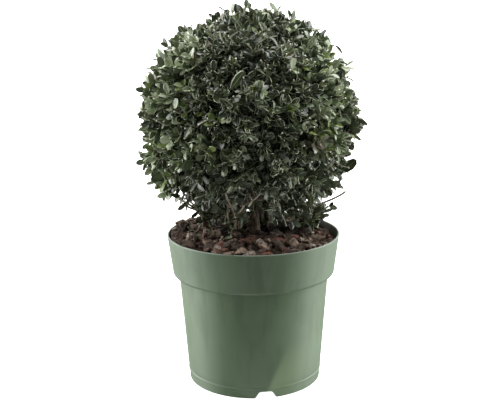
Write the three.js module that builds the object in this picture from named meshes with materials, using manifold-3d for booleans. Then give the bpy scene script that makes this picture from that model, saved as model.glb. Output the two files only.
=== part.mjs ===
// A potted Japanese holly: a dense shrub clipped to a ball, on a clump of stems in a nursery pot.
// Millimetres, +Z up, with the front towards -Y.
// The origin is the centre of the ring that the pot stands on.

import * as THREE from "three";
import { mergeVertices } from "three/addons/utils/BufferGeometryUtils.js";
import Module from "manifold-3d";

const wasm = await Module();
wasm.setup();

const { degToRad, lerp, seededRandom } = THREE.MathUtils;
const UP = new THREE.Vector3(0, 0, 1);
const GOLDEN_ANGLE = Math.PI * (3 - Math.sqrt(5));

// Driving dimensions

const SEAT_GAP = 0.3; // clear space between pieces that touch
const FOOT_GAP = 0.6; // from a stem's level foot to the sloping mulch
const SLIVER = 0.004; // corners of a join stay further apart than this
const WELD = 1e-4; // corners closer than this are one corner
const SEED = 16;

const POT = {
  height: 179,
  wall: 2,
  rimRadius: 102.5,
  rimRound: 0.9,
  bandRadius: 97, // at the lower edge of the deep band under the rim
  bandEdge: 136,
  bodyTopRadius: 89.5,
  bodyTop: 128,
  bodyFootRadius: 80.4,
  bodyFoot: 12,
  ridge: 0.9, // step from the body in to the foot band
  footWall: 3.6,
  floorUnderside: 9,
  floorThickness: 2.4,
  lipSteps: 4,
  sides: 40,
};
const NOTCH = { count: 3, turn: -81, footWidth: 25, topWidth: 15, height: 8, depth: 12, overrun: 2 };
const DRAIN = { radius: 5, fromAxis: 66, sides: 12 };

// The mulch is domed a little, and heaped up towards the back left
const SOIL = { edge: 171, crest: 175, tilt: 0.05, heapAzimuth: 155, rings: 4, sides: 28 };
const CHIP = { count: 24, length: [10, 20], widthShare: 0.6, thickness: 5, tilt: 30, spread: 86 };

const CROWN = {
  centre: new THREE.Vector3(-2, 0, 317),
  reach: 129, // furthest leaf tips of the clipped ball
  topReach: 133,
  lowerReach: 134,
  lowRightReach: 142, // the longest sprays, low on the right
  coreRadius: 96,
  hollowRadius: 66, // the bare inside, where the boughs run
  limbRadius: 58, // where a bough meets its mass
  hubRadius: 82, // where a mass's own stem ends inside its core
  footOpening: 16, // half angle of the bare cone above the stems
  coreGap: 1.6,
  leafGap: 0.6,
  limbGap: 1,
};

// Foliage masses, in rings counted down from the top, as polar angles from straight up
const RINGS = {
  top: { polar: 0, count: 1, turn: 0 },
  upper: { polar: 50, count: 5, turn: 18 },
  middle: { polar: 93, count: 6, turn: 30 },
  lower: { polar: 136, count: 4, turn: 8 },
};

const LIMB_PULL = 0.4; // how far a limb keeps its first and last heading, as a share of its span
const FLARE_SHARE = 0.05; // share of a stem's length over which its foot flares
const LIMB_STATIONS = 40; // places along a limb where its clearance is tested
const CENTRE_STEM = { foot: [2, 3], radius: 6, tipRadius: 2, flare: 2.6, sides: 7, steps: 8 };
const OUTER_STEM = { radius: 3.2, tipRadius: 1.8, flare: 1.6, lean: 0.35, sides: 7, steps: 8 };
// Where the outer stems stand, each by the lower mass that it carries
const OUTER_FEET = { right: [58, 28], back: [14, 24], left: [-57, 30], front: [-21, -8] };
const BOUGH = { radius: 2.2, tipRadius: 1.6, sides: 5, steps: 5 };
const MASS_STEM = { radius: 1.6, tipRadius: 1.2, sides: 6, steps: 1, bentSteps: 4 };
// Where limbs fork, as shares of the stem's length
const FORK = { lowerMass: 0.13, outerBough: 0.6, upperBough: 0.46, upperStep: 0.06 };

const TWIG = {
  count: 118,
  tipInset: 19,
  jitter: 4,
  radius: 1.6,
  tipRadius: 1.35,
  rootSpan: [0.6, 1], // where twigs leave their mass's stem
  edgeGap: 6.4,
  sides: 3,
  steps: 1,
};
const LEAF = {
  perTwig: 5,
  length: [20, 26],
  widthShare: 0.58,
  shoulder: 0.6, // where the leaf is widest, as a share of its length
  endShare: 0.45, // width of its blunt end, as a share of its width
  thickness: 1.7,
  rootDepth: 0.8,
  rootVolume: 1.2, // the most of a leaf that may be sunk in its twig
  endInset: 1, // from the twig's tip to its end leaf
  spacing: 3.4, // along the twig
  opening: [40, 84], // angle from the twig, for the end leaf and the lowest one
  openingTries: [0, 10, -10, 20, -20],
};

// Materials

const plastic = new THREE.MeshStandardMaterial({ color: 0x78897a, roughness: 0.42, metalness: 0 });
const barkMulch = new THREE.MeshStandardMaterial({ color: 0x43362d, roughness: 0.95, metalness: 0 });
const bark = new THREE.MeshStandardMaterial({ color: 0x8d8069, roughness: 0.85, metalness: 0 });
const foliage = new THREE.MeshStandardMaterial({ color: 0x46573a, roughness: 0.45, metalness: 0 });

// Joining and cutting

function solidOf(geometry) {
  geometry.deleteAttribute("normal");
  geometry.deleteAttribute("uv");
  const merged = mergeVertices(geometry, WELD);
  const mesh = new wasm.Mesh({
    numProp: 3,
    vertProperties: Float32Array.from(merged.attributes.position.array),
    triVerts: Uint32Array.from(merged.index.array),
  });
  return new wasm.Manifold(mesh);
}

function geometryOf(solid) {
  const mesh = solid.getMesh();
  const geometry = new THREE.BufferGeometry();
  geometry.setAttribute("position", new THREE.BufferAttribute(mesh.vertProperties, 3));
  geometry.setIndex(new THREE.BufferAttribute(mesh.triVerts, 1));
  return geometry;
}

// The largest body of a solid, without loose scraps and with its sealed hollows filled
function wholeBody(solid) {
  return solid.decompose().reduce((best, body) => (body.volume() > best.volume() ? body : best));
}

// True if a join has left two corners almost in one place
function hasSliver(solid) {
  const geometry = geometryOf(solid);
  return mergeVertices(geometry, SLIVER).attributes.position.count < geometry.attributes.position.count;
}

// Limbs: a round section that tapers along a smooth curve

function limbCurve(from, leaving, to, arriving) {
  const pull = from.distanceTo(to) * LIMB_PULL;
  const first = from.clone().addScaledVector(leaving, pull);
  const second = to.clone().addScaledVector(arriving, -pull);
  return new THREE.CubicBezierCurve3(from, first, second, to);
}

function limbRadius(limb, along) {
  const flare = (limb.flare ?? 0) * Math.exp(-along / FLARE_SHARE);
  return lerp(limb.radius, limb.tipRadius, along) + flare;
}

function limbGeometry(limb, extra = 0) {
  const { curve, sides, steps } = limb;
  const geometry = new THREE.CylinderGeometry(1, 1, 1, sides, steps);
  const { normals, binormals } = curve.computeFrenetFrames(steps, false);
  const position = geometry.attributes.position;
  const vertex = new THREE.Vector3();
  for (let i = 0; i < position.count; i++) {
    vertex.fromBufferAttribute(position, i);
    const along = vertex.y + 0.5;
    const station = Math.round(along * steps);
    const radius = limbRadius(limb, along) + extra;
    const place = curve.getPointAt(along);
    place.addScaledVector(normals[station], vertex.x * radius);
    place.addScaledVector(binormals[station], -vertex.z * radius);
    if (limb.flare && station === 0) place.setZ(curve.v0.z); // a stem's foot is cut level
    position.setXYZ(i, place.x, place.y, place.z);
  }
  return geometry;
}

// Directions and places in the crown

function compass(azimuth) {
  return new THREE.Vector3(Math.cos(azimuth), Math.sin(azimuth), 0);
}

function direction(polar, azimuth) {
  return compass(azimuth).multiplyScalar(Math.sin(polar)).setZ(Math.cos(polar));
}

function inCrown(toward, radius) {
  return CROWN.centre.clone().addScaledVector(toward, radius);
}

function evenDirection(k, count) {
  const height = 1 - (2 * k + 1) / count;
  return direction(Math.acos(height), k * GOLDEN_ANGLE);
}

// Pot: a tapered body on a short foot band, with a deep band that rolls out under the rim

function innerWall(inset, top) {
  const bandSlope = (POT.rimRadius - POT.bandRadius) / (POT.height - POT.bandEdge);
  const path = new THREE.Path();
  path.moveTo(POT.bodyFootRadius - inset, POT.bodyFoot);
  path.lineTo(POT.bodyTopRadius - inset, POT.bodyTop + POT.wall);
  const bandStart = POT.bandEdge + POT.wall;
  path.lineTo(POT.bandRadius - inset, bandStart);
  path.lineTo(POT.bandRadius - inset + bandSlope * (top - bandStart), top);
  return path.getPoints();
}

function potGeometry() {
  const footRadius = POT.bodyFootRadius - POT.ridge;
  const rimInside = POT.rimRadius - POT.wall;
  const outside = new THREE.Path();
  outside.moveTo(0, POT.floorUnderside);
  outside.lineTo(footRadius - POT.footWall, POT.floorUnderside);
  outside.lineTo(footRadius - POT.footWall, 0);
  outside.lineTo(footRadius, 0);
  outside.lineTo(footRadius, POT.bodyFoot - POT.ridge);
  outside.lineTo(POT.bodyFootRadius, POT.bodyFoot);
  outside.lineTo(POT.bodyTopRadius, POT.bodyTop);
  outside.quadraticCurveTo(POT.bandRadius, POT.bodyTop, POT.bandRadius, POT.bandEdge);
  outside.lineTo(POT.rimRadius, POT.height - POT.rimRound);
  outside.lineTo(POT.rimRadius - POT.rimRound, POT.height);
  outside.lineTo(rimInside, POT.height);
  const floorTop = POT.floorUnderside + POT.floorThickness;
  const inside = innerWall(POT.wall, POT.height).reverse().slice(1);
  const axis = new THREE.Vector2(0, floorTop);
  const corner = new THREE.Vector2(POT.bodyFootRadius - 2 * POT.wall, floorTop);
  const profile = [...outside.getPoints(POT.lipSteps), ...inside, corner, axis];
  const blank = new THREE.LatheGeometry(profile, POT.sides);
  let solid = solidOf(blank.rotateX(Math.PI / 2));
  for (let i = 0; i < NOTCH.count; i++) {
    const turn = degToRad(NOTCH.turn) + (i * 2 * Math.PI) / NOTCH.count;
    solid = solid.subtract(solidOf(notchGeometry(turn, footRadius)));
    solid = solid.subtract(solidOf(drainGeometry(turn)));
  }
  return geometryOf(wholeBody(solid));
}

// A gap in the foot ring that lets water out, narrower at its top
function notchGeometry(turn, footRadius) {
  const outline = new THREE.Shape();
  outline.moveTo(-NOTCH.footWidth / 2, -NOTCH.overrun);
  outline.lineTo(NOTCH.footWidth / 2, -NOTCH.overrun);
  outline.lineTo(NOTCH.footWidth / 2, 0);
  outline.lineTo(NOTCH.topWidth / 2, NOTCH.height);
  outline.lineTo(-NOTCH.topWidth / 2, NOTCH.height);
  outline.lineTo(-NOTCH.footWidth / 2, 0);
  outline.closePath();
  const prism = new THREE.ExtrudeGeometry(outline, { depth: NOTCH.depth, bevelEnabled: false });
  prism.rotateX(Math.PI / 2);
  prism.translate(0, -footRadius + NOTCH.depth - NOTCH.overrun, 0);
  return prism.rotateZ(turn + Math.PI / 2);
}

function drainGeometry(turn) {
  const hole = new THREE.CylinderGeometry(DRAIN.radius, DRAIN.radius, POT.bodyFoot, DRAIN.sides);
  const place = compass(turn).multiplyScalar(DRAIN.fromAxis);
  return hole.rotateX(Math.PI / 2).translate(place.x, place.y, POT.floorUnderside);
}

// Soil: bark mulch that fills the pot, with loose chips bedded in its top

function soilHeap(x, y) {
  return compass(degToRad(SOIL.heapAzimuth)).dot(new THREE.Vector3(x, y, 0)) * SOIL.tilt;
}

function soilDome(fromAxis) {
  return lerp(SOIL.crest, SOIL.edge, (fromAxis / POT.rimRadius) ** 2);
}

function onSoil(x, y) {
  return new THREE.Vector3(x, y, soilDome(Math.hypot(x, y)) + soilHeap(x, y));
}

function soilGeometry(stems) {
  const bottom = POT.floorUnderside + POT.floorThickness + SEAT_GAP;
  const inset = POT.wall + SEAT_GAP;
  const lowestEdge = SOIL.edge - SOIL.tilt * POT.rimRadius;
  const side = innerWall(inset, lowestEdge);
  const edge = side[side.length - 1].setY(SOIL.edge).x;
  const axis = new THREE.Vector2(0, bottom);
  const corner = new THREE.Vector2(POT.bodyFootRadius - inset - POT.wall, bottom);
  const top = [];
  for (let i = SOIL.rings - 1; i >= 0; i--) {
    const radius = (edge * i) / SOIL.rings;
    top.push(new THREE.Vector2(radius, soilDome(radius)));
  }
  const blank = new THREE.LatheGeometry([axis, corner, ...side, ...top], SOIL.sides);
  const position = blank.rotateX(Math.PI / 2).attributes.position;
  for (let i = 0; i < position.count; i++) {
    const [x, y, z] = [position.getX(i), position.getY(i), position.getZ(i)];
    if (z > SOIL.edge - WELD) position.setZ(i, z + soilHeap(x, y));
  }
  let solid = solidOf(blank);
  seededRandom(SEED);
  for (let i = 0; i < CHIP.count; i++) {
    const fromAxis = CHIP.spread * Math.sqrt((i + 0.5) / CHIP.count);
    const place = compass(i * GOLDEN_ANGLE).multiplyScalar(fromAxis);
    const length = lerp(...CHIP.length, seededRandom());
    const chip = chipGeometry(onSoil(place.x, place.y), length);
    const clear = stems.every((stem) => {
      const foot = stem.curve.v0.clone().setZ(0);
      return foot.distanceTo(place) > length + stem.radius;
    });
    if (clear) solid = solid.add(solidOf(chip));
  }
  return geometryOf(wholeBody(solid));
}

function chipGeometry(place, length) {
  const chip = new THREE.BoxGeometry(length, length * CHIP.widthShare, CHIP.thickness);
  chip.rotateX(degToRad(CHIP.tilt) * (2 * seededRandom() - 1));
  chip.rotateY(degToRad(CHIP.tilt) * (2 * seededRandom() - 1));
  chip.rotateZ(2 * Math.PI * seededRandom());
  return chip.translate(place.x, place.y, place.z);
}

// Where each mass sits round the crown

function massReach(ring, index) {
  if (ring === "top") return CROWN.topReach;
  if (ring !== "lower") return CROWN.reach;
  return index === 0 ? CROWN.lowRightReach : CROWN.lowerReach;
}

function massList() {
  const masses = [];
  for (const [ring, { polar, count, turn }] of Object.entries(RINGS)) {
    for (let i = 0; i < count; i++) {
      const azimuth = degToRad(turn) + (i * 2 * Math.PI) / count;
      masses.push({
        name: count > 1 ? `foliage_${ring}_${i + 1}` : `foliage_${ring}`,
        ring,
        azimuth,
        toward: direction(degToRad(polar), azimuth),
        reach: massReach(ring, i),
      });
    }
  }
  return masses;
}

// Stems and boughs: a centre stem to the top of the crown, and four outer stems to its sides

function turnBetween(a, b) {
  return Math.acos(THREE.MathUtils.clamp(Math.cos(a - b), -1, 1));
}

function limbTip(mass) {
  return inCrown(mass.toward, CROWN.limbRadius - SEAT_GAP);
}

// The cut end of a stem, just clear of the mulch
function stemFoot([x, y]) {
  return onSoil(x, y).addScaledVector(UP, FOOT_GAP);
}

function centreStem(topMass) {
  const curve = limbCurve(stemFoot(CENTRE_STEM.foot), UP, limbTip(topMass), UP);
  return { name: "stem_centre", curve, ...CENTRE_STEM };
}

function outerStem(name, lowerMass, middleMass) {
  const leaving = compass(lowerMass.azimuth).multiplyScalar(OUTER_STEM.lean).add(UP).normalize();
  const foot = stemFoot(OUTER_FEET[name]);
  const curve = limbCurve(foot, leaving, limbTip(middleMass), middleMass.toward);
  return { name: `stem_${name}`, curve, ...OUTER_STEM };
}

function boughFrom(stem, along, mass) {
  const start = stem.curve.getPointAt(along);
  const leaving = compass(mass.azimuth).add(stem.curve.getTangentAt(along)).normalize();
  const curve = limbCurve(start, leaving, limbTip(mass), mass.toward);
  const name = mass.name.replace("foliage", "bough");
  return { name, curve, stem, ...BOUGH };
}

function growLimbs(masses) {
  const ring = (name) => masses.filter((mass) => mass.ring === name);
  const [topMass] = ring("top");
  const centre = centreStem(topMass);
  const stems = [centre];
  const boughs = [];
  const nearest = (azimuth, list) =>
    list.reduce((best, mass) =>
      turnBetween(mass.azimuth, azimuth) < turnBetween(best.azimuth, azimuth) ? mass : best,
    );
  const spare = ring("middle");
  for (const [i, name] of Object.keys(OUTER_FEET).entries()) {
    const lower = ring("lower")[i];
    const middle = nearest(lower.azimuth, spare);
    spare.splice(spare.indexOf(middle), 1);
    const stem = outerStem(name, lower, middle);
    stems.push(stem);
    lower.carrier = stem;
  }
  for (const middle of spare) {
    const lower = nearest(middle.azimuth, ring("lower"));
    boughs.push(boughFrom(lower.carrier, FORK.outerBough, middle));
  }
  for (const [i, upper] of ring("upper").entries()) {
    const along = FORK.upperBough + FORK.upperStep * ((i * 2) % RINGS.upper.count);
    boughs.push(boughFrom(centre, along, upper));
  }
  return { stems, boughs };
}

// A bough is cut clear of the stem that it grows from
function boughGeometry(bough) {
  const clearance = solidOf(limbGeometry(bough.stem, SEAT_GAP));
  return geometryOf(wholeBody(solidOf(limbGeometry(bough)).subtract(clearance)));
}

// Foliage: each mass has one stem, a dense core, and twigs with pairs of leaves that stand out of it

const masses = massList();
const { stems, boughs } = growLimbs(masses);

const limbStations = [...stems, ...boughs].flatMap((limb) =>
  Array.from({ length: LIMB_STATIONS + 1 }, (_, i) => ({
    point: limb.curve.getPointAt(i / LIMB_STATIONS),
    radius: limbRadius(limb, i / LIMB_STATIONS),
  })),
);

function inSpace(mass, point, gap) {
  const out = point.clone().sub(CROWN.centre);
  if (out.length() > mass.reach) return false;
  if (out.angleTo(UP) > Math.PI - degToRad(CROWN.footOpening)) return false;
  return masses.every((other) => {
    if (other === mass) return true;
    const across = mass.toward.clone().sub(other.toward).normalize();
    return out.dot(across) > gap / 2;
  });
}

function clearOfLimbs(line, halfWidth) {
  const closest = new THREE.Vector3();
  return limbStations.every(({ point, radius }) => {
    line.closestPointToPoint(point, true, closest);
    return closest.distanceTo(point) > radius + halfWidth + CROWN.limbGap;
  });
}

function coreGeometry(mass) {
  const middle = inCrown(mass.toward, CROWN.hubRadius);
  const allowed = (point) => {
    const radius = point.distanceTo(CROWN.centre);
    const spot = new THREE.Line3(point, point);
    const inShell = radius > CROWN.hollowRadius && radius < CROWN.coreRadius;
    return inShell && inSpace(mass, point, CROWN.coreGap) && clearOfLimbs(spot, CROWN.coreGap);
  };
  const core = new THREE.IcosahedronGeometry(1, 1);
  const position = core.attributes.position;
  const outward = new THREE.Vector3();
  for (let i = 0; i < position.count; i++) {
    outward.fromBufferAttribute(position, i).normalize();
    const edge = middle.clone();
    while (allowed(edge.clone().add(outward))) edge.add(outward);
    position.setXYZ(i, edge.x, edge.y, edge.z);
  }
  return core;
}

function massStem(mass) {
  const hub = inCrown(mass.toward, CROWN.hubRadius);
  if (!mass.carrier) {
    const start = inCrown(mass.toward, CROWN.limbRadius);
    return { curve: new THREE.LineCurve3(start, hub), ...MASS_STEM };
  }
  const start = mass.carrier.curve.getPointAt(FORK.lowerMass);
  const curve = limbCurve(start, compass(mass.azimuth).add(UP).normalize(), hub, UP);
  return { curve, ...MASS_STEM, steps: MASS_STEM.bentSteps };
}

// A leaf is a thin five-cornered lens: a pointed root, two shoulders and a blunt end
function leafGeometry(root, along, facing, length) {
  const leaf = new THREE.SphereGeometry(1, 5, 2);
  const halfWidth = (length * LEAF.widthShare) / 2;
  const position = leaf.attributes.position;
  const corner = new THREE.Vector3();
  for (let i = 0; i < position.count; i++) {
    corner.fromBufferAttribute(position, i);
    const side = Math.abs(corner.z) < 0.1 ? 0 : Math.sign(corner.z);
    const y = (corner.y * LEAF.thickness) / 2;
    if (corner.x < -0.9) position.setXYZ(i, 0, 0, 0);
    else if (corner.x < 0.1) position.setXYZ(i, length * LEAF.shoulder, y, side * halfWidth);
    else position.setXYZ(i, length, 0, side * halfWidth * LEAF.endShare);
  }
  const frame = new THREE.Matrix4().makeBasis(along, facing, along.clone().cross(facing));
  return leaf.applyMatrix4(frame.setPosition(root));
}

function leafFits(leaf, mass, root, tip) {
  const corner = new THREE.Vector3();
  for (let i = 0; i < leaf.attributes.position.count; i++) {
    corner.fromBufferAttribute(leaf.attributes.position, i);
    if (!inSpace(mass, corner, CROWN.leafGap)) return false;
  }
  return clearOfLimbs(new THREE.Line3(root, tip), (LEAF.length[1] * LEAF.widthShare) / 2);
}

// Adds a twig's leaves in a spiral of thirds, one on each flat side in turn
function addLeaves(solid, twig, mass) {
  const { normals, binormals } = twig.curve.computeFrenetFrames(1, false);
  const axis = twig.curve.getTangentAt(1);
  for (let i = 0; i < LEAF.perTwig; i++) {
    const turn = Math.PI / 3 + (i * 2 * Math.PI) / 3;
    const outward = normals[0].clone().multiplyScalar(Math.sin(turn));
    outward.addScaledVector(binormals[0], -Math.cos(turn));
    const length = lerp(...LEAF.length, seededRandom());
    const node = twig.curve.v2.clone().addScaledVector(axis, -LEAF.endInset - i * LEAF.spacing);
    for (const change of LEAF.openingTries) {
      const opening = degToRad(lerp(...LEAF.opening, i / (LEAF.perTwig - 1)) + change);
      const along = axis.clone().multiplyScalar(Math.cos(opening));
      along.addScaledVector(outward, Math.sin(opening));
      const facing = axis.clone().multiplyScalar(Math.sin(opening));
      facing.addScaledVector(outward, -Math.cos(opening));
      const root = node.clone().addScaledVector(outward, -LEAF.rootDepth);
      const leaf = leafGeometry(root, along, facing, length);
      if (!leafFits(leaf, mass, root, root.clone().addScaledVector(along, length))) continue;
      const leafSolid = solidOf(leaf);
      if (solid.intersect(leafSolid).volume() > LEAF.rootVolume) continue;
      const joined = solid.add(leafSolid);
      if (hasSliver(joined)) continue;
      solid = joined;
      break;
    }
  }
  return solid;
}

function homeOf(toward) {
  return masses.reduce((best, mass) => (mass.toward.dot(toward) > best.toward.dot(toward) ? mass : best));
}

function foliageGeometry(mass) {
  const stem = massStem(mass);
  let solid = solidOf(coreGeometry(mass)).add(solidOf(limbGeometry(stem)));
  for (let k = 0; k < TWIG.count; k++) {
    const toward = evenDirection(k, TWIG.count);
    if (homeOf(toward) !== mass) continue;
    seededRandom(SEED + k);
    const tip = inCrown(toward, mass.reach - TWIG.tipInset + TWIG.jitter * (2 * seededRandom() - 1));
    const root = stem.curve.getPointAt(lerp(...TWIG.rootSpan, seededRandom()));
    const twig = { curve: new THREE.LineCurve3(root, tip), ...TWIG };
    if (!inSpace(mass, tip, TWIG.edgeGap)) continue;
    if (!clearOfLimbs(new THREE.Line3(root, tip), TWIG.radius)) continue;
    const joined = solid.add(solidOf(limbGeometry(twig)));
    if (!hasSliver(joined)) solid = addLeaves(joined, twig, mass);
  }
  if (mass.carrier) solid = solid.subtract(solidOf(limbGeometry(mass.carrier, SEAT_GAP)));
  return geometryOf(wholeBody(solid));
}

// The whole plant in its pot

const plant = new THREE.Group();

function place(name, geometry, material) {
  const mesh = new THREE.Mesh(geometry, material);
  mesh.name = name;
  plant.add(mesh);
}

place("pot", potGeometry(), plastic);
place("soil", soilGeometry(stems), barkMulch);
for (const stem of stems) place(stem.name, limbGeometry(stem), bark);
for (const bough of boughs) place(bough.name, boughGeometry(bough), bark);
for (const mass of masses) place(mass.name, foliageGeometry(mass), foliage);

export default plant;
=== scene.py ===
# A small-leaved evergreen shrub, clipped to a ball, in a green nursery pot topped with bark mulch.
# Metres, +Z up, with the front towards -Y; the pot stands on the floor at the origin.

import math

import bmesh
import bpy
import numpy as np
from mathutils import Matrix, Vector, noise


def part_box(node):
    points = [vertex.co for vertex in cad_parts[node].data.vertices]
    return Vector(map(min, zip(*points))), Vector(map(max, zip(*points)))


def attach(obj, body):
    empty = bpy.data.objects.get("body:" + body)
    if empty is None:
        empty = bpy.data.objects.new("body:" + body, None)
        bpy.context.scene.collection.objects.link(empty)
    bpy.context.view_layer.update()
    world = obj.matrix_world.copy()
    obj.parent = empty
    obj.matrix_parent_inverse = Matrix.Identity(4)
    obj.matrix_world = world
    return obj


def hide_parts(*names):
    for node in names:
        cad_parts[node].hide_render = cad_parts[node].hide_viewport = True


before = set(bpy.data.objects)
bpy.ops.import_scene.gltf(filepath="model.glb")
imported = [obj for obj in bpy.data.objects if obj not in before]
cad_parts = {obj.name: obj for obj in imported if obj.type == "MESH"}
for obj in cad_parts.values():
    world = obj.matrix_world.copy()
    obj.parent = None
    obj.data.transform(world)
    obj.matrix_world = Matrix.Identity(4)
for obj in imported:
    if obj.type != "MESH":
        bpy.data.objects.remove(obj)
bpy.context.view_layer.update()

# Studio: a white floor between two bright walls, with soft light from above and a little to the right.
# The room before the plant is dark, so the pot is dark in front and pale at its flanks.
# A weak round light on the floor stands for what a small white stand throws back up the pot.

# Lights are strengths, and spans are parts of a heading along one axis, where a light fades in
BACK_LIGHT = 0.9
SIDE_LIGHT = 3.8
SIDE_SPAN = (0.6, 0.95)
WALL_FADE = (-0.5, 0.05)
LOW_SHARE = 0.4
LOW_FADE = (-0.5, 0.1)
FRONT_LIGHT = 0.095
TOP_LIGHT = 5.3
TOP_SPAN = (0.6, 0.95)
TOP_FADE = (-0.12, 0.45)
TOP_RIGHT = 0.35
TOP_FRONT_SHARE = 0.04
BOUNCE_LIGHT = 0.12
BOUNCE_SPAN = (0.05, 0.5)
WHITE = (1, 1, 1, 1)
FLOOR_COLOUR = (0.93, 0.93, 0.93, 1)
# A pattern's scale and detail, and the least and most that it makes of a roughness
FLOOR_GRAIN = (40.0, 3.0)
FLOOR_ROUGHNESS = (0.85, 0.95)
FLOOR_GLOW = 1.0
FLOOR_SPREAD = 20
STAND_WIDTH = 0.12
STAND_LIGHT = 0.013
STAND_PLACE = (0, -0.14, 0.0005)
CAMERA_PLACE = (-0.0035, -1.129, 0.482)
CAMERA_PITCH = math.radians(90 - 13.17)
CAMERA_ROLL = math.radians(-0.63)
FOCAL_LENGTH = 977
IMAGE_WIDTH = 500
SENSOR_WIDTH = 36

scene = bpy.context.scene


def pick(sockets, key):
    """The socket with that place, name or identifier among those in use."""
    if isinstance(key, int):
        return sockets[key]
    return next(s for s in sockets if s.enabled and key in (s.identifier, s.name))


class Wire:
    """An end of a wire in a node tree. Arithmetic on it adds Math nodes."""

    def __init__(self, tree, socket=None):
        self.tree = tree
        self.socket = socket

    def add(self, kind, settings=None, sockets=None, out=0):
        """Adds any other node: first its settings, then the values or wires of its sockets."""
        node = self.tree.nodes.new(kind)
        for name, value in (settings or {}).items():
            setattr(node, name, value)
        for key, value in (sockets or {}).items():
            self.feed(pick(node.inputs, key), value)
        return Wire(self.tree, pick(node.outputs, out)) if node.outputs else node

    def feed(self, socket, value):
        if isinstance(value, Wire):
            self.tree.links.new(value.socket, socket)
        else:
            socket.default_value = value

    def math(self, operation, first, second=0.0):
        return self.add("ShaderNodeMath", {"operation": operation}, {0: first, 1: second})

    def mix(self, factor, first, second):
        colours = {"Factor": factor, "A": first, "B": second}
        return self.add("ShaderNodeMix", {"data_type": "RGBA"}, colours, out="Result")

    def ramp(self, value, low, high):
        """0 where the value is below low, 1 where it is above high."""
        limits = {"Value": value, "From Min": low, "From Max": high}
        return self.add("ShaderNodeMapRange", {"interpolation_type": "SMOOTHSTEP"}, limits)

    def noise(self, place, scale, detail, roughness=0.5):
        """A pattern of values round 0.5 that change from place to place."""
        pattern = {"Vector": place, "Scale": scale, "Detail": detail, "Roughness": roughness}
        return self.add("ShaderNodeTexNoise", sockets=pattern)

    def bump(self, strength, distance, height):
        relief = {"Strength": strength, "Distance": distance, "Height": height}
        return self.add("ShaderNodeBump", sockets=relief)

    def axes(self):
        """The X, Y and Z of a vector."""
        return [self.add("ShaderNodeSeparateXYZ", sockets={"Vector": self}, out=axis) for axis in "XYZ"]

    def times(self, scales):
        """A vector with each of its axes scaled."""
        return self.add("ShaderNodeVectorMath", {"operation": "MULTIPLY"}, {0: self, 1: scales})

    def __add__(self, other):
        return self.math("ADD", self, other)

    def __radd__(self, other):
        return self.math("ADD", other, self)

    def __sub__(self, other):
        return self.math("SUBTRACT", self, other)

    def __rsub__(self, other):
        return self.math("SUBTRACT", other, self)

    def __mul__(self, other):
        return self.math("MULTIPLY", self, other)

    def __rmul__(self, other):
        return self.math("MULTIPLY", other, self)


def between(first, second, share):
    """What lies at that share of the way from the first value to the second."""
    return first + share * (second - first)


def new_material(name):
    """A material, a wire to add its nodes with, and a wire from the place on its piece."""
    material = bpy.data.materials.new(name)
    material.use_nodes = True
    wire = Wire(material.node_tree)
    return material, wire, wire.add("ShaderNodeTexCoord", out="Object")


def dress(material, sockets):
    """Sets or wires the sockets of the material's own shader."""
    shader = material.node_tree.nodes["Principled BSDF"]
    wire = Wire(material.node_tree)
    for key, value in sockets.items():
        wire.feed(pick(shader.inputs, key), value)
    return material


def light_the_room():
    world = bpy.data.worlds.new("studio")
    world.use_nodes = True
    wire = Wire(world.node_tree)
    x, y, z = wire.add("ShaderNodeTexCoord", out="Generated").axes()
    sides = wire.ramp(wire.math("ABSOLUTE", x), *SIDE_SPAN)
    walls = (BACK_LIGHT + SIDE_LIGHT * sides) * wire.ramp(y, *WALL_FADE)
    walls = walls * between(LOW_SHARE, 1, wire.ramp(z, *LOW_FADE))
    above = TOP_LIGHT * wire.ramp(z, *TOP_SPAN) * (1 + TOP_RIGHT * x)
    above = above * between(TOP_FRONT_SHARE, 1, wire.ramp(y, *TOP_FADE))
    bounce = BOUNCE_LIGHT * wire.ramp(-1 * z, *BOUNCE_SPAN) * wire.ramp(-1 * y, *BOUNCE_SPAN)
    strength = FRONT_LIGHT + walls + above + bounce
    seen = wire.add("ShaderNodeLightPath", out="Is Camera Ray")
    background = world.node_tree.nodes["Background"]
    wire.feed(background.inputs["Color"], WHITE)
    wire.feed(background.inputs["Strength"], between(strength, 1, seen))
    scene.world = world


def white_sheet():
    material, wire, place = new_material("white sheet")
    return dress(material, {
        "Base Color": FLOOR_COLOUR,
        "Roughness": between(*FLOOR_ROUGHNESS, wire.noise(place, *FLOOR_GRAIN)),
        "Emission Color": WHITE,
        "Emission Strength": FLOOR_GLOW,
    })


def lay_floor():
    """The floor only shows the white round the plant. It throws no light back on it."""
    mesh = bpy.data.meshes.new("floor")
    s = FLOOR_SPREAD
    mesh.from_pydata([(-s, -s, 0), (s, -s, 0), (s, s, 0), (-s, s, 0)], [], [(0, 1, 2, 3)])
    mesh.materials.append(white_sheet())
    floor = bpy.data.objects.new("floor", mesh)
    floor.visible_diffuse = False
    floor.visible_glossy = False
    scene.collection.objects.link(floor)


def light_the_stand():
    glow = bpy.data.lights.new("stand light", "AREA")
    glow.shape = "DISK"
    glow.size = STAND_WIDTH
    glow.energy = STAND_LIGHT
    stand = bpy.data.objects.new("stand_light", glow)
    stand.matrix_world = Matrix.Translation(STAND_PLACE) @ Matrix.Rotation(math.pi, 4, "X")
    stand.visible_camera = False
    scene.collection.objects.link(stand)


def stand_camera():
    lens = bpy.data.cameras.new("camera")
    lens.sensor_width = SENSOR_WIDTH
    lens.lens = FOCAL_LENGTH * SENSOR_WIDTH / IMAGE_WIDTH
    camera = bpy.data.objects.new("camera", lens)
    scene.collection.objects.link(camera)
    turn = Matrix.Rotation(CAMERA_PITCH, 4, "X") @ Matrix.Rotation(CAMERA_ROLL, 4, "Z")
    camera.matrix_world = Matrix.Translation(CAMERA_PLACE) @ turn
    scene.camera = camera


light_the_room()
lay_floor()
light_the_stand()
stand_camera()
scene.view_settings.view_transform = "Standard"

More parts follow.
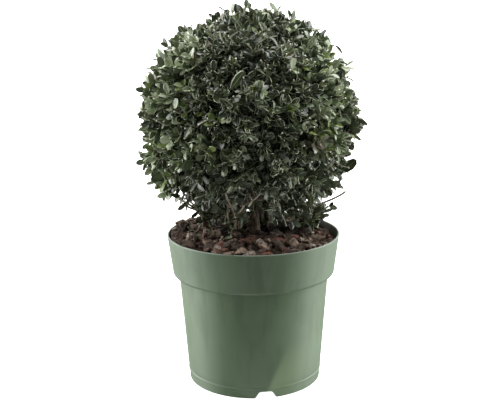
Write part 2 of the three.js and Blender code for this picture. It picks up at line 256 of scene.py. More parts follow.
# Pot: an eight inch nursery pot, moulded in one piece from satin sage green plastic.
# A deep band stiffens the rim, and the foot ring that it stands on has notches for the water.

MM = 0.001
RIM_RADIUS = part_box("pot")[1].x
POT_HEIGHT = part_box("pot")[1].z
POT_WALL = 2 * MM
RIM_ROUND = 0.95 * MM
BAND_RADIUS = 97 * MM
BAND_EDGE = 136 * MM
BAND_ROOT = 2.5 * MM
BODY_TOP_RADIUS = 89.5 * MM
BODY_TOP = 130.3 * MM
BODY_TOP_ROUND = 1.6 * MM
BODY_TOP_INSET = 0.1 * MM
BODY_FOOT_RADIUS = 80.4 * MM
BODY_FOOT = 12 * MM
BEAD = 0.7 * MM
FOOT_RADIUS = 79.5 * MM
FOOT_WALL = 3.6 * MM
FOOT_ROUND = 0.8 * MM
FLOOR_UNDERSIDE = 9 * MM
FLOOR_THICKNESS = 2.4 * MM
FLOOR_TOP = FLOOR_UNDERSIDE + FLOOR_THICKNESS
# Points on the round corners, and rows of points on the straight stretches
FOOT_STEPS = 4
BEAD_STEPS = 5
BODY_STEPS = 5
BAND_STEPS = 12
RIM_STEPS = 6
BODY_ROWS = 24
BODY_ROWS_END = 3 * MM
BAND_ROWS = 10
BAND_ROWS_SPAN = (0.1, 0.97)
POT_COLUMNS = 288
POT_CREASE = 32
NOTCH_COUNT = 3
NOTCH_TURN = math.radians(-81)
NOTCH_FOOT_WIDTH = 25 * MM
NOTCH_TOP_WIDTH = 15 * MM
NOTCH_HEIGHT = 8 * MM
NOTCH_ROUND = 2.4 * MM
NOTCH_FLARE = 0.6
NOTCH_STEPS = (5, 6)
NOTCH_DEPTH = 12 * MM
NOTCH_LENGTH = 18 * MM
DRAIN_RADIUS = 5 * MM
DRAIN_FROM_AXIS = 66 * MM
DRAIN_SIDES = 24
SAGE = (0.174, 0.258, 0.149, 1)
SAGE_PALE = (0.210, 0.301, 0.182, 1)
SAGE_DEEP = (0.138, 0.211, 0.118, 1)
# Near black greens for the pot's inner wall: painted shade
INNER_SHADE = (0.045, 0.058, 0.034, 1)
INNER_SHADE_DEEP = (0.024, 0.026, 0.016, 1)
EDGE_HIGHLIGHT = (0.42, 0.50, 0.42, 1)
# A bluish grey painted on the band as its sheen, the reflection of the bright room
SAGE_SHEEN = (0.235, 0.300, 0.265, 1)
# The paler green of a reflection painted low on the body's right
SAGE_REFLECTION = (0.315, 0.440, 0.255, 1)
# Patterns in the plastic: scale, detail and roughness of each, and the values between which it shows
CLOUD = (14.0, 3.0, 0.5)
CLOUD_SPAN = (0.3, 0.7)
STREAK = (60.0, 4.0, 0.55)
STREAK_DRAW = (1, 1, 0.18)
STREAK_SPAN = (0.46, 0.66)
STREAK_SHARE = 0.6
FLECK = (900.0, 2.0, 0.6)
FLECK_SHARE = 0.5
SHEEN_SHARE = 0.10
# Heights over the rim's top and distances from the bead between which a pale line is painted along the
# edges as a highlight
RIM_HIGHLIGHT = (-1.3 * MM, -0.2 * MM)
BEAD_HIGHLIGHT = (0.3 * MM, 1.1 * MM)
BEAD_HIGHLIGHT_SHARE = 0.4
HIGHLIGHT_SPAN = (0.25, 0.6)
# Up to this height the body is darker: real dirt at its foot and painted shade towards the floor, patchy
# with the clouds
DIRT_AND_SHADE_HEIGHT = 85 * MM
DIRT_AND_SHADE_SHARE = 0.7
DIRT_AND_SHADE_THINNEST = 0.5
DIRT_AND_SHADE_SPAN = (0.4, 0.65)
# Where that painted reflection lies: a wedge on the front right of the body, whose edge slopes up to the
# right
REFLECTION_SLOPE = 0.43
REFLECTION_FOOT = 11 * MM
REFLECTION_BLUR = 4 * MM
REFLECTION_FADE = (18 * MM, 75 * MM)
REFLECTION_WIDTH = 55 * MM
PLASTIC_BUMP = (0.10, 0.6 * MM)
PLASTIC_ROUGHNESS = 0.34
STREAK_ROUGHNESS = 0.10
CLOUD_ROUGHNESS = 0.06
PLASTIC_SHINE = 0.6


def bow(start, control, end, steps):
    """Points on a round corner from start to end that leaves both towards control."""
    a, b, c = (np.array(p) for p in (start, control, end))
    t = np.linspace(0, 1, steps)[:, None]
    return [tuple(p) for p in (1 - t) ** 2 * a + 2 * t * (1 - t) * b + t**2 * c]


def pot_profile():
    """The pot's section, from the middle of its underside out, up and back in to its floor."""
    foot_inside = FOOT_RADIUS - FOOT_WALL
    rim_inside = RIM_RADIUS - POT_WALL
    r = FOOT_ROUND
    profile = [(0, FLOOR_UNDERSIDE), (foot_inside / 2, FLOOR_UNDERSIDE)]
    profile += bow((foot_inside - r, FLOOR_UNDERSIDE), (foot_inside, FLOOR_UNDERSIDE),
                   (foot_inside, FLOOR_UNDERSIDE - r), FOOT_STEPS)
    profile += bow((foot_inside, r), (foot_inside, 0), (foot_inside + r, 0), FOOT_STEPS)
    profile += bow((FOOT_RADIUS - r, 0), (FOOT_RADIUS, 0), (FOOT_RADIUS, r), FOOT_STEPS)
    profile += bow((FOOT_RADIUS, BODY_FOOT - 3 * BEAD), (FOOT_RADIUS, BODY_FOOT - 1.5 * BEAD),
                   (BODY_FOOT_RADIUS + 0.5 * BEAD, BODY_FOOT - BEAD), BEAD_STEPS)
    profile += bow((BODY_FOOT_RADIUS + 0.5 * BEAD, BODY_FOOT), (BODY_FOOT_RADIUS, BODY_FOOT + BEAD),
                   (BODY_FOOT_RADIUS, BODY_FOOT + 3 * BEAD), BEAD_STEPS)
    lean = (BODY_TOP_RADIUS - BODY_FOOT_RADIUS) / (BODY_TOP - BODY_FOOT)
    for z in np.linspace(BODY_FOOT + 4 * BEAD, BODY_TOP - BODY_ROWS_END, BODY_ROWS):
        profile.append((BODY_FOOT_RADIUS + lean * (z - BODY_FOOT), z))
    profile += bow((BODY_TOP_RADIUS - BODY_TOP_INSET, BODY_TOP - BODY_TOP_ROUND),
                   (BODY_TOP_RADIUS, BODY_TOP), (BODY_TOP_RADIUS + BODY_TOP_ROUND, BODY_TOP), BODY_STEPS)
    profile += bow((BODY_TOP_RADIUS + BAND_ROOT, BODY_TOP), (BAND_RADIUS, BODY_TOP),
                   (BAND_RADIUS, BAND_EDGE), BAND_STEPS)
    for share in np.linspace(*BAND_ROWS_SPAN, BAND_ROWS):
        profile.append((between(BAND_RADIUS, RIM_RADIUS, share),
                        between(BAND_EDGE, POT_HEIGHT - RIM_ROUND, share)))
    profile += bow((RIM_RADIUS, POT_HEIGHT - RIM_ROUND), (RIM_RADIUS, POT_HEIGHT),
                   (RIM_RADIUS - RIM_ROUND, POT_HEIGHT), RIM_STEPS)
    profile += bow((rim_inside + RIM_ROUND, POT_HEIGHT), (rim_inside, POT_HEIGHT),
                   (rim_inside, POT_HEIGHT - RIM_ROUND), RIM_STEPS)
    profile += [(BAND_RADIUS - POT_WALL, BAND_EDGE + POT_WALL)]
    profile += [(BODY_TOP_RADIUS - POT_WALL, BODY_TOP + POT_WALL)]
    profile += [(BODY_FOOT_RADIUS - POT_WALL, BODY_FOOT + POT_WALL)]
    profile += [(BODY_FOOT_RADIUS - 2 * POT_WALL, FLOOR_TOP), (0, FLOOR_TOP)]
    return profile


def turned(name, profile, columns):
    """A mesh turned round the Z axis from a profile that starts and ends on that axis."""
    ring = np.arange(columns) * 2 * math.pi / columns
    middle = profile[1:-1]
    points = [(0, 0, profile[0][1])]
    for radius, height in middle:
        points += [(radius * math.cos(a), radius * math.sin(a), height) for a in ring]
    points.append((0, 0, profile[-1][1]))
    last = len(points) - 1
    faces = []
    for i in range(columns):
        j = (i + 1) % columns
        faces.append((0, 1 + j, 1 + i))
        for row in range(len(middle) - 1):
            low = 1 + row * columns
            high = low + columns
            faces.append((low + i, low + j, high + j, high + i))
        top = 1 + (len(middle) - 1) * columns
        faces.append((top + i, top + j, last))
    mesh = bpy.data.meshes.new(name)
    mesh.from_pydata(points, [], faces)
    return mesh


def notch_outline():
    """A trapezoid with a flared foot and round shoulders, which starts a little below the ring."""
    half_foot = NOTCH_FOOT_WIDTH / 2
    half_top = NOTCH_TOP_WIDTH / 2
    r = NOTCH_ROUND
    slope = (half_foot - half_top) / NOTCH_HEIGHT
    foot_steps, top_steps = NOTCH_STEPS
    side = [(half_foot + r, -r)]
    side += bow((half_foot + NOTCH_FLARE * r, 0), (half_foot, 0), (half_foot - slope * r, r), foot_steps)
    side += bow((half_top + slope * r, NOTCH_HEIGHT - r), (half_top, NOTCH_HEIGHT),
                (half_top - r, NOTCH_HEIGHT), top_steps)
    return side + [(-x, z) for x, z in reversed(side)]


def pot_cutter():
    """The notches and drain holes as one mesh of prisms."""
    shapes = bmesh.new()
    for i in range(NOTCH_COUNT):
        turn = Matrix.Rotation(NOTCH_TURN + i * 2 * math.pi / NOTCH_COUNT, 4, "Z")
        near = FOOT_RADIUS - NOTCH_DEPTH
        face = shapes.faces.new([shapes.verts.new(turn @ Vector((near, x, z)))
                                 for x, z in notch_outline()])
        pushed = bmesh.ops.extrude_face_region(shapes, geom=[face])["geom"]
        corners = [v for v in pushed if isinstance(v, bmesh.types.BMVert)]
        bmesh.ops.translate(shapes, verts=corners, vec=turn @ Vector((NOTCH_LENGTH, 0, 0)))
        place = turn @ Matrix.Translation((DRAIN_FROM_AXIS, 0, FLOOR_UNDERSIDE))
        bmesh.ops.create_cone(shapes, cap_ends=True, segments=DRAIN_SIDES, radius1=DRAIN_RADIUS,
                              radius2=DRAIN_RADIUS, depth=2 * FLOOR_UNDERSIDE, matrix=place)
    bmesh.ops.recalc_face_normals(shapes, faces=shapes.faces)
    mesh = bpy.data.meshes.new("pot cutter")
    shapes.to_mesh(mesh)
    shapes.free()
    return mesh


def settled(piece):
    """Turns an object with modifiers into a plain mesh object."""
    graph = bpy.context.evaluated_depsgraph_get()
    made = bpy.data.meshes.new_from_object(piece.evaluated_get(graph), depsgraph=graph)
    piece.modifiers.clear()
    piece.data = made
    return piece


def link(name, mesh):
    piece = bpy.data.objects.new(name, mesh)
    scene.collection.objects.link(piece)
    return piece


def put_in_place(piece, node):
    """The piece takes the place of a solid on the plant's one body."""
    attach(piece, "root")
    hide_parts(node)


def sage_plastic(name, plain, pale, deep, sheen, reflection):
    """Moulded plastic with soft clouds and drawn streaks, with a pale highlight painted along the rim and
    the bead.
    The band has a painted bluish sheen, the body is dirty at its foot and painted darker towards the bottom
    as shade, and a reflection is painted paler low on its right."""
    material, wire, place = new_material(name)
    across, depth, height = place.axes()
    cloud = wire.noise(place, *CLOUD)
    streak = wire.noise(place.times(STREAK_DRAW), *STREAK)
    fleck = wire.noise(place, *FLECK)
    colour = wire.mix(wire.ramp(cloud, *CLOUD_SPAN), plain, pale)
    colour = wire.mix(wire.ramp(streak, *STREAK_SPAN) * STREAK_SHARE, colour, deep)
    # The band is painted towards a bluish grey as its sheen
    colour = wire.mix(wire.ramp(height, BODY_TOP, BAND_EDGE) * SHEEN_SHARE, colour, sheen)
    # A pale line painted along the rim's top and along the bead as a highlight, broken up by the streaks
    rim_edge = wire.ramp(height - POT_HEIGHT, *RIM_HIGHLIGHT)
    bead_edge = 1 - wire.ramp(wire.math("ABSOLUTE", height - BODY_FOOT), *BEAD_HIGHLIGHT)
    edge_highlight = wire.math("MAXIMUM", rim_edge, bead_edge * BEAD_HIGHLIGHT_SHARE)
    colour = wire.mix(edge_highlight * wire.ramp(streak, *HIGHLIGHT_SPAN), colour, EDGE_HIGHLIGHT)
    # Darker towards the bottom: dirt at the foot and painted shade where the floor keeps light off
    dirt_and_shade = 1 - wire.ramp(height, 0, DIRT_AND_SHADE_HEIGHT)
    dirt_and_shade = dirt_and_shade * between(DIRT_AND_SHADE_THINNEST, 1, wire.ramp(cloud, *DIRT_AND_SHADE_SPAN))
    colour = wire.mix(dirt_and_shade * DIRT_AND_SHADE_SHARE, colour, deep)
    # A painted reflection: paler low on the right of the body's front
    past_edge = across - REFLECTION_SLOPE * height - REFLECTION_FOOT
    painted_reflection = wire.ramp(past_edge, -REFLECTION_BLUR, REFLECTION_BLUR) * (1 - wire.ramp(past_edge, 0, REFLECTION_WIDTH))
    painted_reflection = painted_reflection * (1 - wire.ramp(height, *REFLECTION_FADE)) * wire.ramp(-1 * depth, 0, REFLECTION_BLUR)
    return dress(material, {
        "Base Color": wire.mix(painted_reflection, colour, reflection),
        "Roughness": PLASTIC_ROUGHNESS + streak * STREAK_ROUGHNESS + cloud * CLOUD_ROUGHNESS,
        "Specular IOR Level": PLASTIC_SHINE,
        "Normal": wire.bump(*PLASTIC_BUMP, between(streak, fleck, FLECK_SHARE)),
    })


def smooth(mesh, angle):
    mesh.shade_smooth()
    mesh.set_sharp_from_angle(angle=math.radians(angle))


pot_mesh = turned("nursery pot", pot_profile(), POT_COLUMNS)
pot_mesh.materials.append(
    sage_plastic("sage plastic", SAGE, SAGE_PALE, SAGE_DEEP, SAGE_SHEEN, SAGE_REFLECTION))
# The inner wall is painted near black as shade
pot_mesh.materials.append(sage_plastic("stained plastic", INNER_SHADE, INNER_SHADE, INNER_SHADE_DEEP, INNER_SHADE, INNER_SHADE))
for face in pot_mesh.polygons:
    inward = face.normal.x * face.center.x + face.normal.y * face.center.y < 0
    face.material_index = int(inward and face.center.z > FLOOR_TOP)
pot = link("nursery_pot", pot_mesh)
cutter = link("pot_cutter", pot_cutter())
cut = pot.modifiers.new("notches and drains", "BOOLEAN")
cut.operation = "DIFFERENCE"
cut.solver = "MANIFOLD"
cut.object = cutter
settled(pot)
bpy.data.objects.remove(cutter)
smooth(pot.data, POT_CREASE)
put_in_place(pot, "pot")

# Mulch: shredded bark that fills the pot, domed a little and heaped up towards the back left.
# Nuggets and crumbs of bark lie loose on top, dark, with some red and some bleached ones. A patch under the
# crown is painted near black as shade.

SOIL_EDGE = 171 * MM
SOIL_CREST = 175 * MM
SOIL_TILT = 0.05
SOIL_HEAP_TURN = math.radians(155)
SOIL_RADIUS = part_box("soil")[1].x
SOIL_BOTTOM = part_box("soil")[0].z
SOIL_FOOT_INSET = 3 * POT_WALL
SOIL_INSET = 1.3 * POT_WALL
SOIL_SHOULDER = BAND_EDGE + 4 * MM
SOIL_RINGS = 72
SOIL_COLUMNS = 168
SOIL_LUMP = 2.6 * MM
SOIL_LUMP_SCALE = 95
SOIL_LUMP_FRACTAL = (0.9, 2.0, 4)
SOIL_HEAP = 5 * MM
SOIL_HEAP_POWER = 3
NUGGET_SHAPES = 9
NUGGET_CORNERS = 15
# Halves of a nugget's width and height against its length, how square it is and how far it is worn
NUGGET_WIDTHS = (0.13, 0.42)
NUGGET_HEIGHTS = (0.09, 0.25)
NUGGET_SQUARENESS = 3
NUGGET_WEAR = (0.75, 1)
MULCH_SEED = 5
LEVEL_ENOUGH = 0.3
# The patch right of the middle, under the crown, where the mulch is painted near black as shade
MULCH_SHADE_PLACE = (28 * MM, 26 * MM, 176 * MM)
MULCH_SHADE_SPAN = (22 * MM, 52 * MM)
MULCH_SHADE_SHARE = 0.9
MULCH_SHADE = (0.034, 0.026, 0.021, 1)
MULCH_DARK = (0.070, 0.048, 0.036, 1)
MULCH_BROWN = (0.165, 0.115, 0.084, 1)
MULCH_RED = (0.330, 0.125, 0.085, 1)
MULCH_TAN = (0.500, 0.365, 0.270, 1)
MULCH_PALE = (0.760, 0.660, 0.570, 1)
FIBRE = (420.0, 5.0, 0.65)
FIBRE_TURN = (0.5, 0.3, 0.7)
FIBRE_DRAW = (1, 0.3, 1)
FIBRE_SPAN = (0.36, 0.66)
FIBRE_BUMP = (0.8, 1.2 * MM)
FIBRE_ROUGHNESS = (0.72, 0.97)
PATCH = (70.0, 3.0)
PATCH_SHARE = 0.4


def soil_height(x, y):
    """The mulch's level: a low dome that leans up towards the heap."""
    dome = SOIL_CREST + (SOIL_EDGE - SOIL_CREST) * (x * x + y * y) / RIM_RADIUS**2
    return dome + SOIL_TILT * (x * math.cos(SOIL_HEAP_TURN) + y * math.sin(SOIL_HEAP_TURN))


def mulch_mesh():
    """A lumpy top on a plain body that fills the pot."""
    wall = [(0, SOIL_BOTTOM), (BODY_FOOT_RADIUS - SOIL_FOOT_INSET, SOIL_BOTTOM),
            (BODY_TOP_RADIUS - SOIL_INSET, BODY_TOP), (BAND_RADIUS - SOIL_INSET, SOIL_SHOULDER)]
    top = [(SOIL_RADIUS * (1 - i / SOIL_RINGS), SOIL_EDGE) for i in range(SOIL_RINGS)]
    mesh = turned("bark mulch", wall + top + [(0, SOIL_EDGE)], SOIL_COLUMNS)
    for vertex in mesh.vertices:
        x, y, z = vertex.co
        if z > SOIL_EDGE - MM:
            lump = noise.fractal(Vector((x, y, 0)) * SOIL_LUMP_SCALE, *SOIL_LUMP_FRACTAL)
            heap = max(0, x * math.cos(SOIL_HEAP_TURN) + y * math.sin(SOIL_HEAP_TURN)) / SOIL_RADIUS
            vertex.co.z = soil_height(x, y) + SOIL_LUMP * lump + SOIL_HEAP * heap**SOIL_HEAP_POWER
    mesh.shade_smooth()
    return mesh


def bark_fibre(name, dark, light):
    """Bark that is dark in its furrows and lighter along its fibres, painted near black in a patch under
    the crown as shade.
    """
    material, wire, place = new_material(name)
    aside = wire.add("ShaderNodeVectorMath", {"operation": "DISTANCE"}, {0: place, 1: MULCH_SHADE_PLACE},
                     out="Value")
    drawn = wire.add("ShaderNodeMapping", sockets={
        "Vector": place, "Rotation": FIBRE_TURN, "Scale": FIBRE_DRAW})
    fibre = wire.noise(drawn, *FIBRE)
    grain = between(fibre, wire.noise(place, *PATCH), PATCH_SHARE)
    colour = wire.mix(wire.ramp(grain, *FIBRE_SPAN), dark, light)
    # Painted shade under the crown, darkest in the middle of the patch
    painted_shade = (1 - wire.ramp(aside, *MULCH_SHADE_SPAN)) * MULCH_SHADE_SHARE
    return dress(material, {
        "Base Color": wire.mix(painted_shade, colour, MULCH_SHADE),
        "Roughness": between(*FIBRE_ROUGHNESS, fibre),
        "Normal": wire.bump(*FIBRE_BUMP, fibre),
    })


def nugget_meshes():
    """A few angular chunks of unit length to deal out over the mulch."""
    draw = np.random.default_rng(MULCH_SEED)
    meshes = []
    for i in range(NUGGET_SHAPES):
        half = np.array((0.5, draw.uniform(*NUGGET_WIDTHS), draw.uniform(*NUGGET_HEIGHTS)))
        shape = bmesh.new()
        for corner in draw.normal(size=(NUGGET_CORNERS, 3)):
            reach = (np.abs(corner) ** NUGGET_SQUARENESS).sum() ** (1 / NUGGET_SQUARENESS)
            shape.verts.new(corner / reach * half * draw.uniform(*NUGGET_WEAR))
        hull = bmesh.ops.convex_hull(shape, input=shape.verts)
        loose = hull["geom_interior"] + hull["geom_unused"]
        inside = {v for v in loose if isinstance(v, bmesh.types.BMVert)}
        bmesh.ops.delete(shape, geom=list(inside), context="VERTS")
        bmesh.ops.recalc_face_normals(shape, faces=shape.faces)
        mesh = bpy.data.meshes.new(f"bark nugget {i + 1}")
        shape.to_mesh(mesh)
        shape.free()
        meshes.append(mesh)
    return meshes


def shelf(name, meshes):
    """A collection that isn't in the scene, to draw shapes from."""
    collection = bpy.data.collections.new(name)
    for mesh in meshes:
        collection.objects.link(bpy.data.objects.new(mesh.name, mesh))
    return collection


def geometry_tree(name, inputs):
    """An empty geometry tree with named inputs. Gives the tree and a wire from each input."""
    tree = bpy.data.node_groups.new(name, "GeometryNodeTree")
    tree.interface.new_socket("Geometry", in_out="OUTPUT", socket_type="NodeSocketGeometry")
    for label, kind in {"Geometry": "Geometry", **inputs}.items():
        tree.interface.new_socket(label, in_out="INPUT", socket_type=f"NodeSocket{kind}")
    entry = tree.nodes.new("NodeGroupInput")
    return tree, {s.name: Wire(tree, s) for s in entry.outputs if s.name}


def end_tree(tree, geometry):
    Wire(tree).add("NodeGroupOutput", sockets={"Geometry": geometry})


def grown(name, mesh, tree, values):
    """Runs a geometry tree on a mesh and keeps the result as a plain mesh object."""
    piece = link(name, mesh)
    modifier = piece.modifiers.new(tree.name, "NODES")
    modifier.node_group = tree
    for item in tree.interface.items_tree:
        if item.in_out == "INPUT" and item.name in values:
            modifier[item.identifier] = values[item.name]
    return settled(piece)


def from_shelf(wire, shapes):
    return wire.add("GeometryNodeCollectionInfo", sockets={
        "Collection": shapes, "Separate Children": True, "Reset Children": True})


def random_value(wire, kind, low, high, seed):
    limits = {"Min": low, "Max": high, "Seed": seed}
    return wire.add("FunctionNodeRandomValue", {"data_type": kind}, limits, out="Value")


def kept(wire, label, kind):
    """A value that the mesh keeps at its points or faces."""
    return wire.add("GeometryNodeInputNamedAttribute", {"data_type": kind}, {"Name": label})


def painted(wire, geometry, label, materials, first=0):
    """Gives each face the material whose number it keeps, counted from the first number."""
    for number, material in enumerate(materials, first):
        chosen = wire.add("FunctionNodeCompare", {"data_type": "INT", "operation": "EQUAL"},
                          {"A": kept(wire, label, "INT"), "B": number})
        geometry = wire.add("GeometryNodeSetMaterial", sockets={
            "Geometry": geometry, "Selection": chosen, "Material": material})
    return geometry


def scatter_tree(materials):
    """Deals nuggets out over a mesh's top, lying nearly flat, each in one of the materials."""
    tree, given = geometry_tree("scattered bark", {
        "Shapes": "Collection", "Density": "Float", "Spread": "Float", "Shortest": "Float",
        "Longest": "Float", "Tilt": "Float", "Lift": "Float", "Seed": "Int"})
    wire = Wire(tree)
    seed = given["Seed"]
    flat = wire.add("GeometryNodeInputPosition").times((1, 1, 0))
    from_axis = wire.add("ShaderNodeVectorMath", {"operation": "LENGTH"}, {0: flat}, out="Value")
    _, _, upward = wire.add("GeometryNodeInputNormal").axes()
    allowed = wire.math("LESS_THAN", from_axis, given["Spread"])
    allowed = allowed * wire.math("GREATER_THAN", upward, LEVEL_ENOUGH)
    points = wire.add("GeometryNodeDistributePointsOnFaces", sockets={
        "Mesh": given["Geometry"], "Selection": allowed, "Density": given["Density"], "Seed": seed})
    tilts = random_value(wire, "FLOAT_VECTOR", (-1.0, -1.0, -math.pi), (1.0, 1.0, math.pi), seed)
    lean = wire.add("ShaderNodeCombineXYZ", sockets={"X": given["Tilt"], "Y": given["Tilt"], "Z": 1.0})
    turn = wire.add("FunctionNodeEulerToRotation", sockets={"Euler": tilts.times(lean)})
    chunks = wire.add("GeometryNodeInstanceOnPoints", sockets={
        "Points": points, "Instance": from_shelf(wire, given["Shapes"]), "Pick Instance": True,
        "Rotation": turn,
        "Scale": random_value(wire, "FLOAT", given["Shortest"], given["Longest"], seed + 1)})
    lift = wire.add("ShaderNodeCombineXYZ", sockets={"Z": given["Lift"]})
    chunks = wire.add("GeometryNodeTranslateInstances", sockets={
        "Instances": chunks, "Translation": lift, "Local Space": False})
    kind = random_value(wire, "INT", 0, len(materials) - 1, seed + 2)
    chunks = wire.add("GeometryNodeStoreNamedAttribute", {"data_type": "INT", "domain": "INSTANCE"},
                      {"Geometry": chunks, "Name": "kind", "Value": kind})
    bark = wire.add("GeometryNodeRealizeInstances", sockets={"Geometry": chunks})
    end_tree(tree, painted(wire, bark, "kind", materials))
    return tree


dark_bark = bark_fibre("dark bark", MULCH_DARK, MULCH_BROWN)
brown_bark = bark_fibre("brown bark", MULCH_DARK, MULCH_TAN)
red_bark = bark_fibre("red bark", MULCH_BROWN, MULCH_RED)
bleached_bark = bark_fibre("bleached bark", MULCH_BROWN, MULCH_PALE)
mulch = link("bark_mulch", mulch_mesh())
mulch.data.materials.append(bark_fibre("damp mulch", MULCH_DARK, MULCH_BROWN))
nuggets = shelf("bark nuggets", nugget_meshes())
nugget_tree = scatter_tree([dark_bark, dark_bark, brown_bark, brown_bark, red_bark, bleached_bark])
crumb_tree = scatter_tree([dark_bark, dark_bark, brown_bark, red_bark])
loose_bark = {
    "nuggets": (nugget_tree, {"Density": 8000.0, "Spread": 91 * MM, "Shortest": 13 * MM,
                              "Longest": 29 * MM, "Tilt": 0.6, "Lift": 2.6 * MM, "Seed": 11}),
    "chips": (nugget_tree, {"Density": 14000.0, "Spread": 95 * MM, "Shortest": 5 * MM,
                            "Longest": 10 * MM, "Tilt": 0.9, "Lift": 1.6 * MM, "Seed": 23}),
    "crumbs": (crumb_tree, {"Density": 40000.0, "Spread": 97 * MM, "Shortest": 2 * MM,
                            "Longest": 5 * MM, "Tilt": 1.2, "Lift": 0.3 * MM, "Seed": 37}),
}
for size, (tree, values) in loose_bark.items():
    piece = grown(f"bark_{size}", mulch.data, tree, {"Shapes": nuggets, **values})
    put_in_place(piece, "soil")
put_in_place(mulch, "soil")

# Stems and boughs: a clump of thin woody stems from one root, with tan grey bark that is finely ribbed.
# The centre stem carries the top of the crown, four outer ones carry its sides, and boughs fork off them.

CROWN_CENTRE = np.array((-2, 0, 317)) * MM
LIMB_RADIUS = 58 * MM
HUB_RADIUS = 82 * MM
CROWN_REACH = {"top": 133 * MM, "upper": 129 * MM, "middle": 129 * MM, "lower": 134 * MM}
LOW_RIGHT_REACH = 138 * MM
# Rings of leaf masses: degrees down from the top, how many masses, and degrees that the ring is turned
RINGS = {"top": (0, 1, 0), "upper": (50, 5, 18), "middle": (93, 6, 30), "lower": (136, 4, 8)}
LIMB_PULL = 0.4
LIMB_FINENESS = 4
FLARE_SHARE = 0.05
FOOT_DEPTH = 6 * MM
CENTRE_FOOT = (2 * MM, 3 * MM)
OUTER_FEET = {"right": (58 * MM, 28 * MM), "back": (14 * MM, 24 * MM),
              "left": (-57 * MM, 30 * MM), "front": (-21 * MM, -8 * MM)}
OUTER_LEAN = 0.35
# Girths of a limb: its radius at the foot and at the tip, and what a flare adds at the foot
CENTRE_GIRTH = (6 * MM, 2 * MM, 2.6 * MM)
OUTER_GIRTH = (3.2 * MM, 1.8 * MM, 1.6 * MM)
BOUGH_GIRTH = (2.2 * MM, 1.6 * MM, 0)
LOWER_FORK = 0.13
OUTER_FORK = 0.6
UPPER_FORK = 0.46
UPPER_STEP = 0.06
LIMB_STEPS = 90
LIMB_SIDES = 22
BARK_RIB = 1.3 * MM
RIBS = (520.0, 3.0)
RIB_DRAW = (1, 1, 0.22)
KNOTS = (130.0, 1.0)
BARK_DARK = (0.085, 0.066, 0.044, 1)
BARK_TAN = (0.420, 0.345, 0.245, 1)
BARK_GREY = (0.460, 0.420, 0.345, 1)
FURROW = (600.0, 5.0, 0.6)
FURROW_DRAW = (1, 1, 0.2)
FURROW_SPAN = (0.35, 0.6)
FURROW_BUMP = (0.6, 0.5 * MM)
BARK_ROUGHNESS = (0.65, 0.95)
LICHEN = (160.0, 4.0)
LICHEN_SPAN = (0.5, 0.7)
LICHEN_SHARE = 0.6
UP = np.array((0.0, 0.0, 1.0))


def unit(vector):
    return vector / np.linalg.norm(vector, axis=-1, keepdims=True)


def compass(azimuth):
    return np.array((math.cos(azimuth), math.sin(azimuth), 0.0))


def limb_path(start, leaving, end, arriving, steps):
    """Evenly spaced points on a limb that keeps its first heading and its last one a while."""
    pull = LIMB_PULL * np.linalg.norm(end - start)
    t = np.linspace(0, 1, LIMB_FINENESS * steps)[:, None]
    curve = (1 - t) ** 3 * start + 3 * (1 - t) ** 2 * t * (start + pull * leaving)
    curve = curve + 3 * (1 - t) * t**2 * (end - pull * arriving) + t**3 * end
    gone = np.append(0, np.cumsum(np.linalg.norm(np.diff(curve, axis=0), axis=1)))
    even = np.linspace(0, gone[-1], steps)
    return np.stack([np.interp(even, gone, curve[:, i]) for i in range(3)], axis=1)


def along_limb(path, share):
    """The place and heading at a share of a limb's length."""
    last = len(path) - 1
    behind = min(int(share * last), last - 1)
    ahead = path[behind + 1] - path[behind]
    return path[behind] + (share * last - behind) * ahead, unit(ahead)


def crown_masses():
    """The leaf masses of the crown, ring by ring down from the top, as the solids have them."""
    masses = []
    for ring, (polar, count, turn) in RINGS.items():
        for i in range(count):
            azimuth = math.radians(turn) + i * 2 * math.pi / count
            tilt = math.radians(polar)
            masses.append({
                "name": f"{ring}_{i + 1}" if count > 1 else ring,
                "ring": ring,
                "azimuth": azimuth,
                "toward": compass(azimuth) * math.sin(tilt) + UP * math.cos(tilt),
                "reach": LOW_RIGHT_REACH if (ring, i) == ("lower", 0) else CROWN_REACH[ring],
            })
    return masses


def nearest(azimuth, masses):
    return max(masses, key=lambda mass: math.cos(mass["azimuth"] - azimuth))


def limb_tip(mass):
    return CROWN_CENTRE + mass["toward"] * LIMB_RADIUS


def stem_foot(x, y):
    return np.array((x, y, soil_height(x, y) - FOOT_DEPTH))


def fork(path, share, mass):
    """A bough from a stem to its mass."""
    start, heading = along_limb(path, share)
    leaving = unit(compass(mass["azimuth"]) + heading)
    return limb_path(start, leaving, limb_tip(mass), mass["toward"], LIMB_STEPS)


def grow_limbs(masses):
    """Paths and girths of the stems and boughs by name. Lower masses are told their stem."""
    by_ring = {ring: [m for m in masses if m["ring"] == ring] for ring in RINGS}
    top = by_ring["top"][0]
    centre = limb_path(stem_foot(*CENTRE_FOOT), UP, limb_tip(top), UP, LIMB_STEPS)
    limbs = {"stem_centre": (centre, CENTRE_GIRTH)}
    spare = list(by_ring["middle"])
    for lower, (side, foot) in zip(by_ring["lower"], OUTER_FEET.items()):
        middle = nearest(lower["azimuth"], spare)
        spare.remove(middle)
        leaving = unit(OUTER_LEAN * compass(lower["azimuth"]) + UP)
        stem = limb_path(stem_foot(*foot), leaving, limb_tip(middle), middle["toward"], LIMB_STEPS)
        limbs[f"stem_{side}"] = (stem, OUTER_GIRTH)
        lower["carrier"] = stem
    for middle in spare:
        carrier = nearest(middle["azimuth"], by_ring["lower"])["carrier"]
        limbs[f"bough_{middle['name']}"] = (fork(carrier, OUTER_FORK, middle), BOUGH_GIRTH)
    for i, upper in enumerate(by_ring["upper"]):
        share = UPPER_FORK + UPPER_STEP * (2 * i % len(by_ring["upper"]))
        limbs[f"bough_{upper['name']}"] = (fork(centre, share, upper), BOUGH_GIRTH)
    return limbs


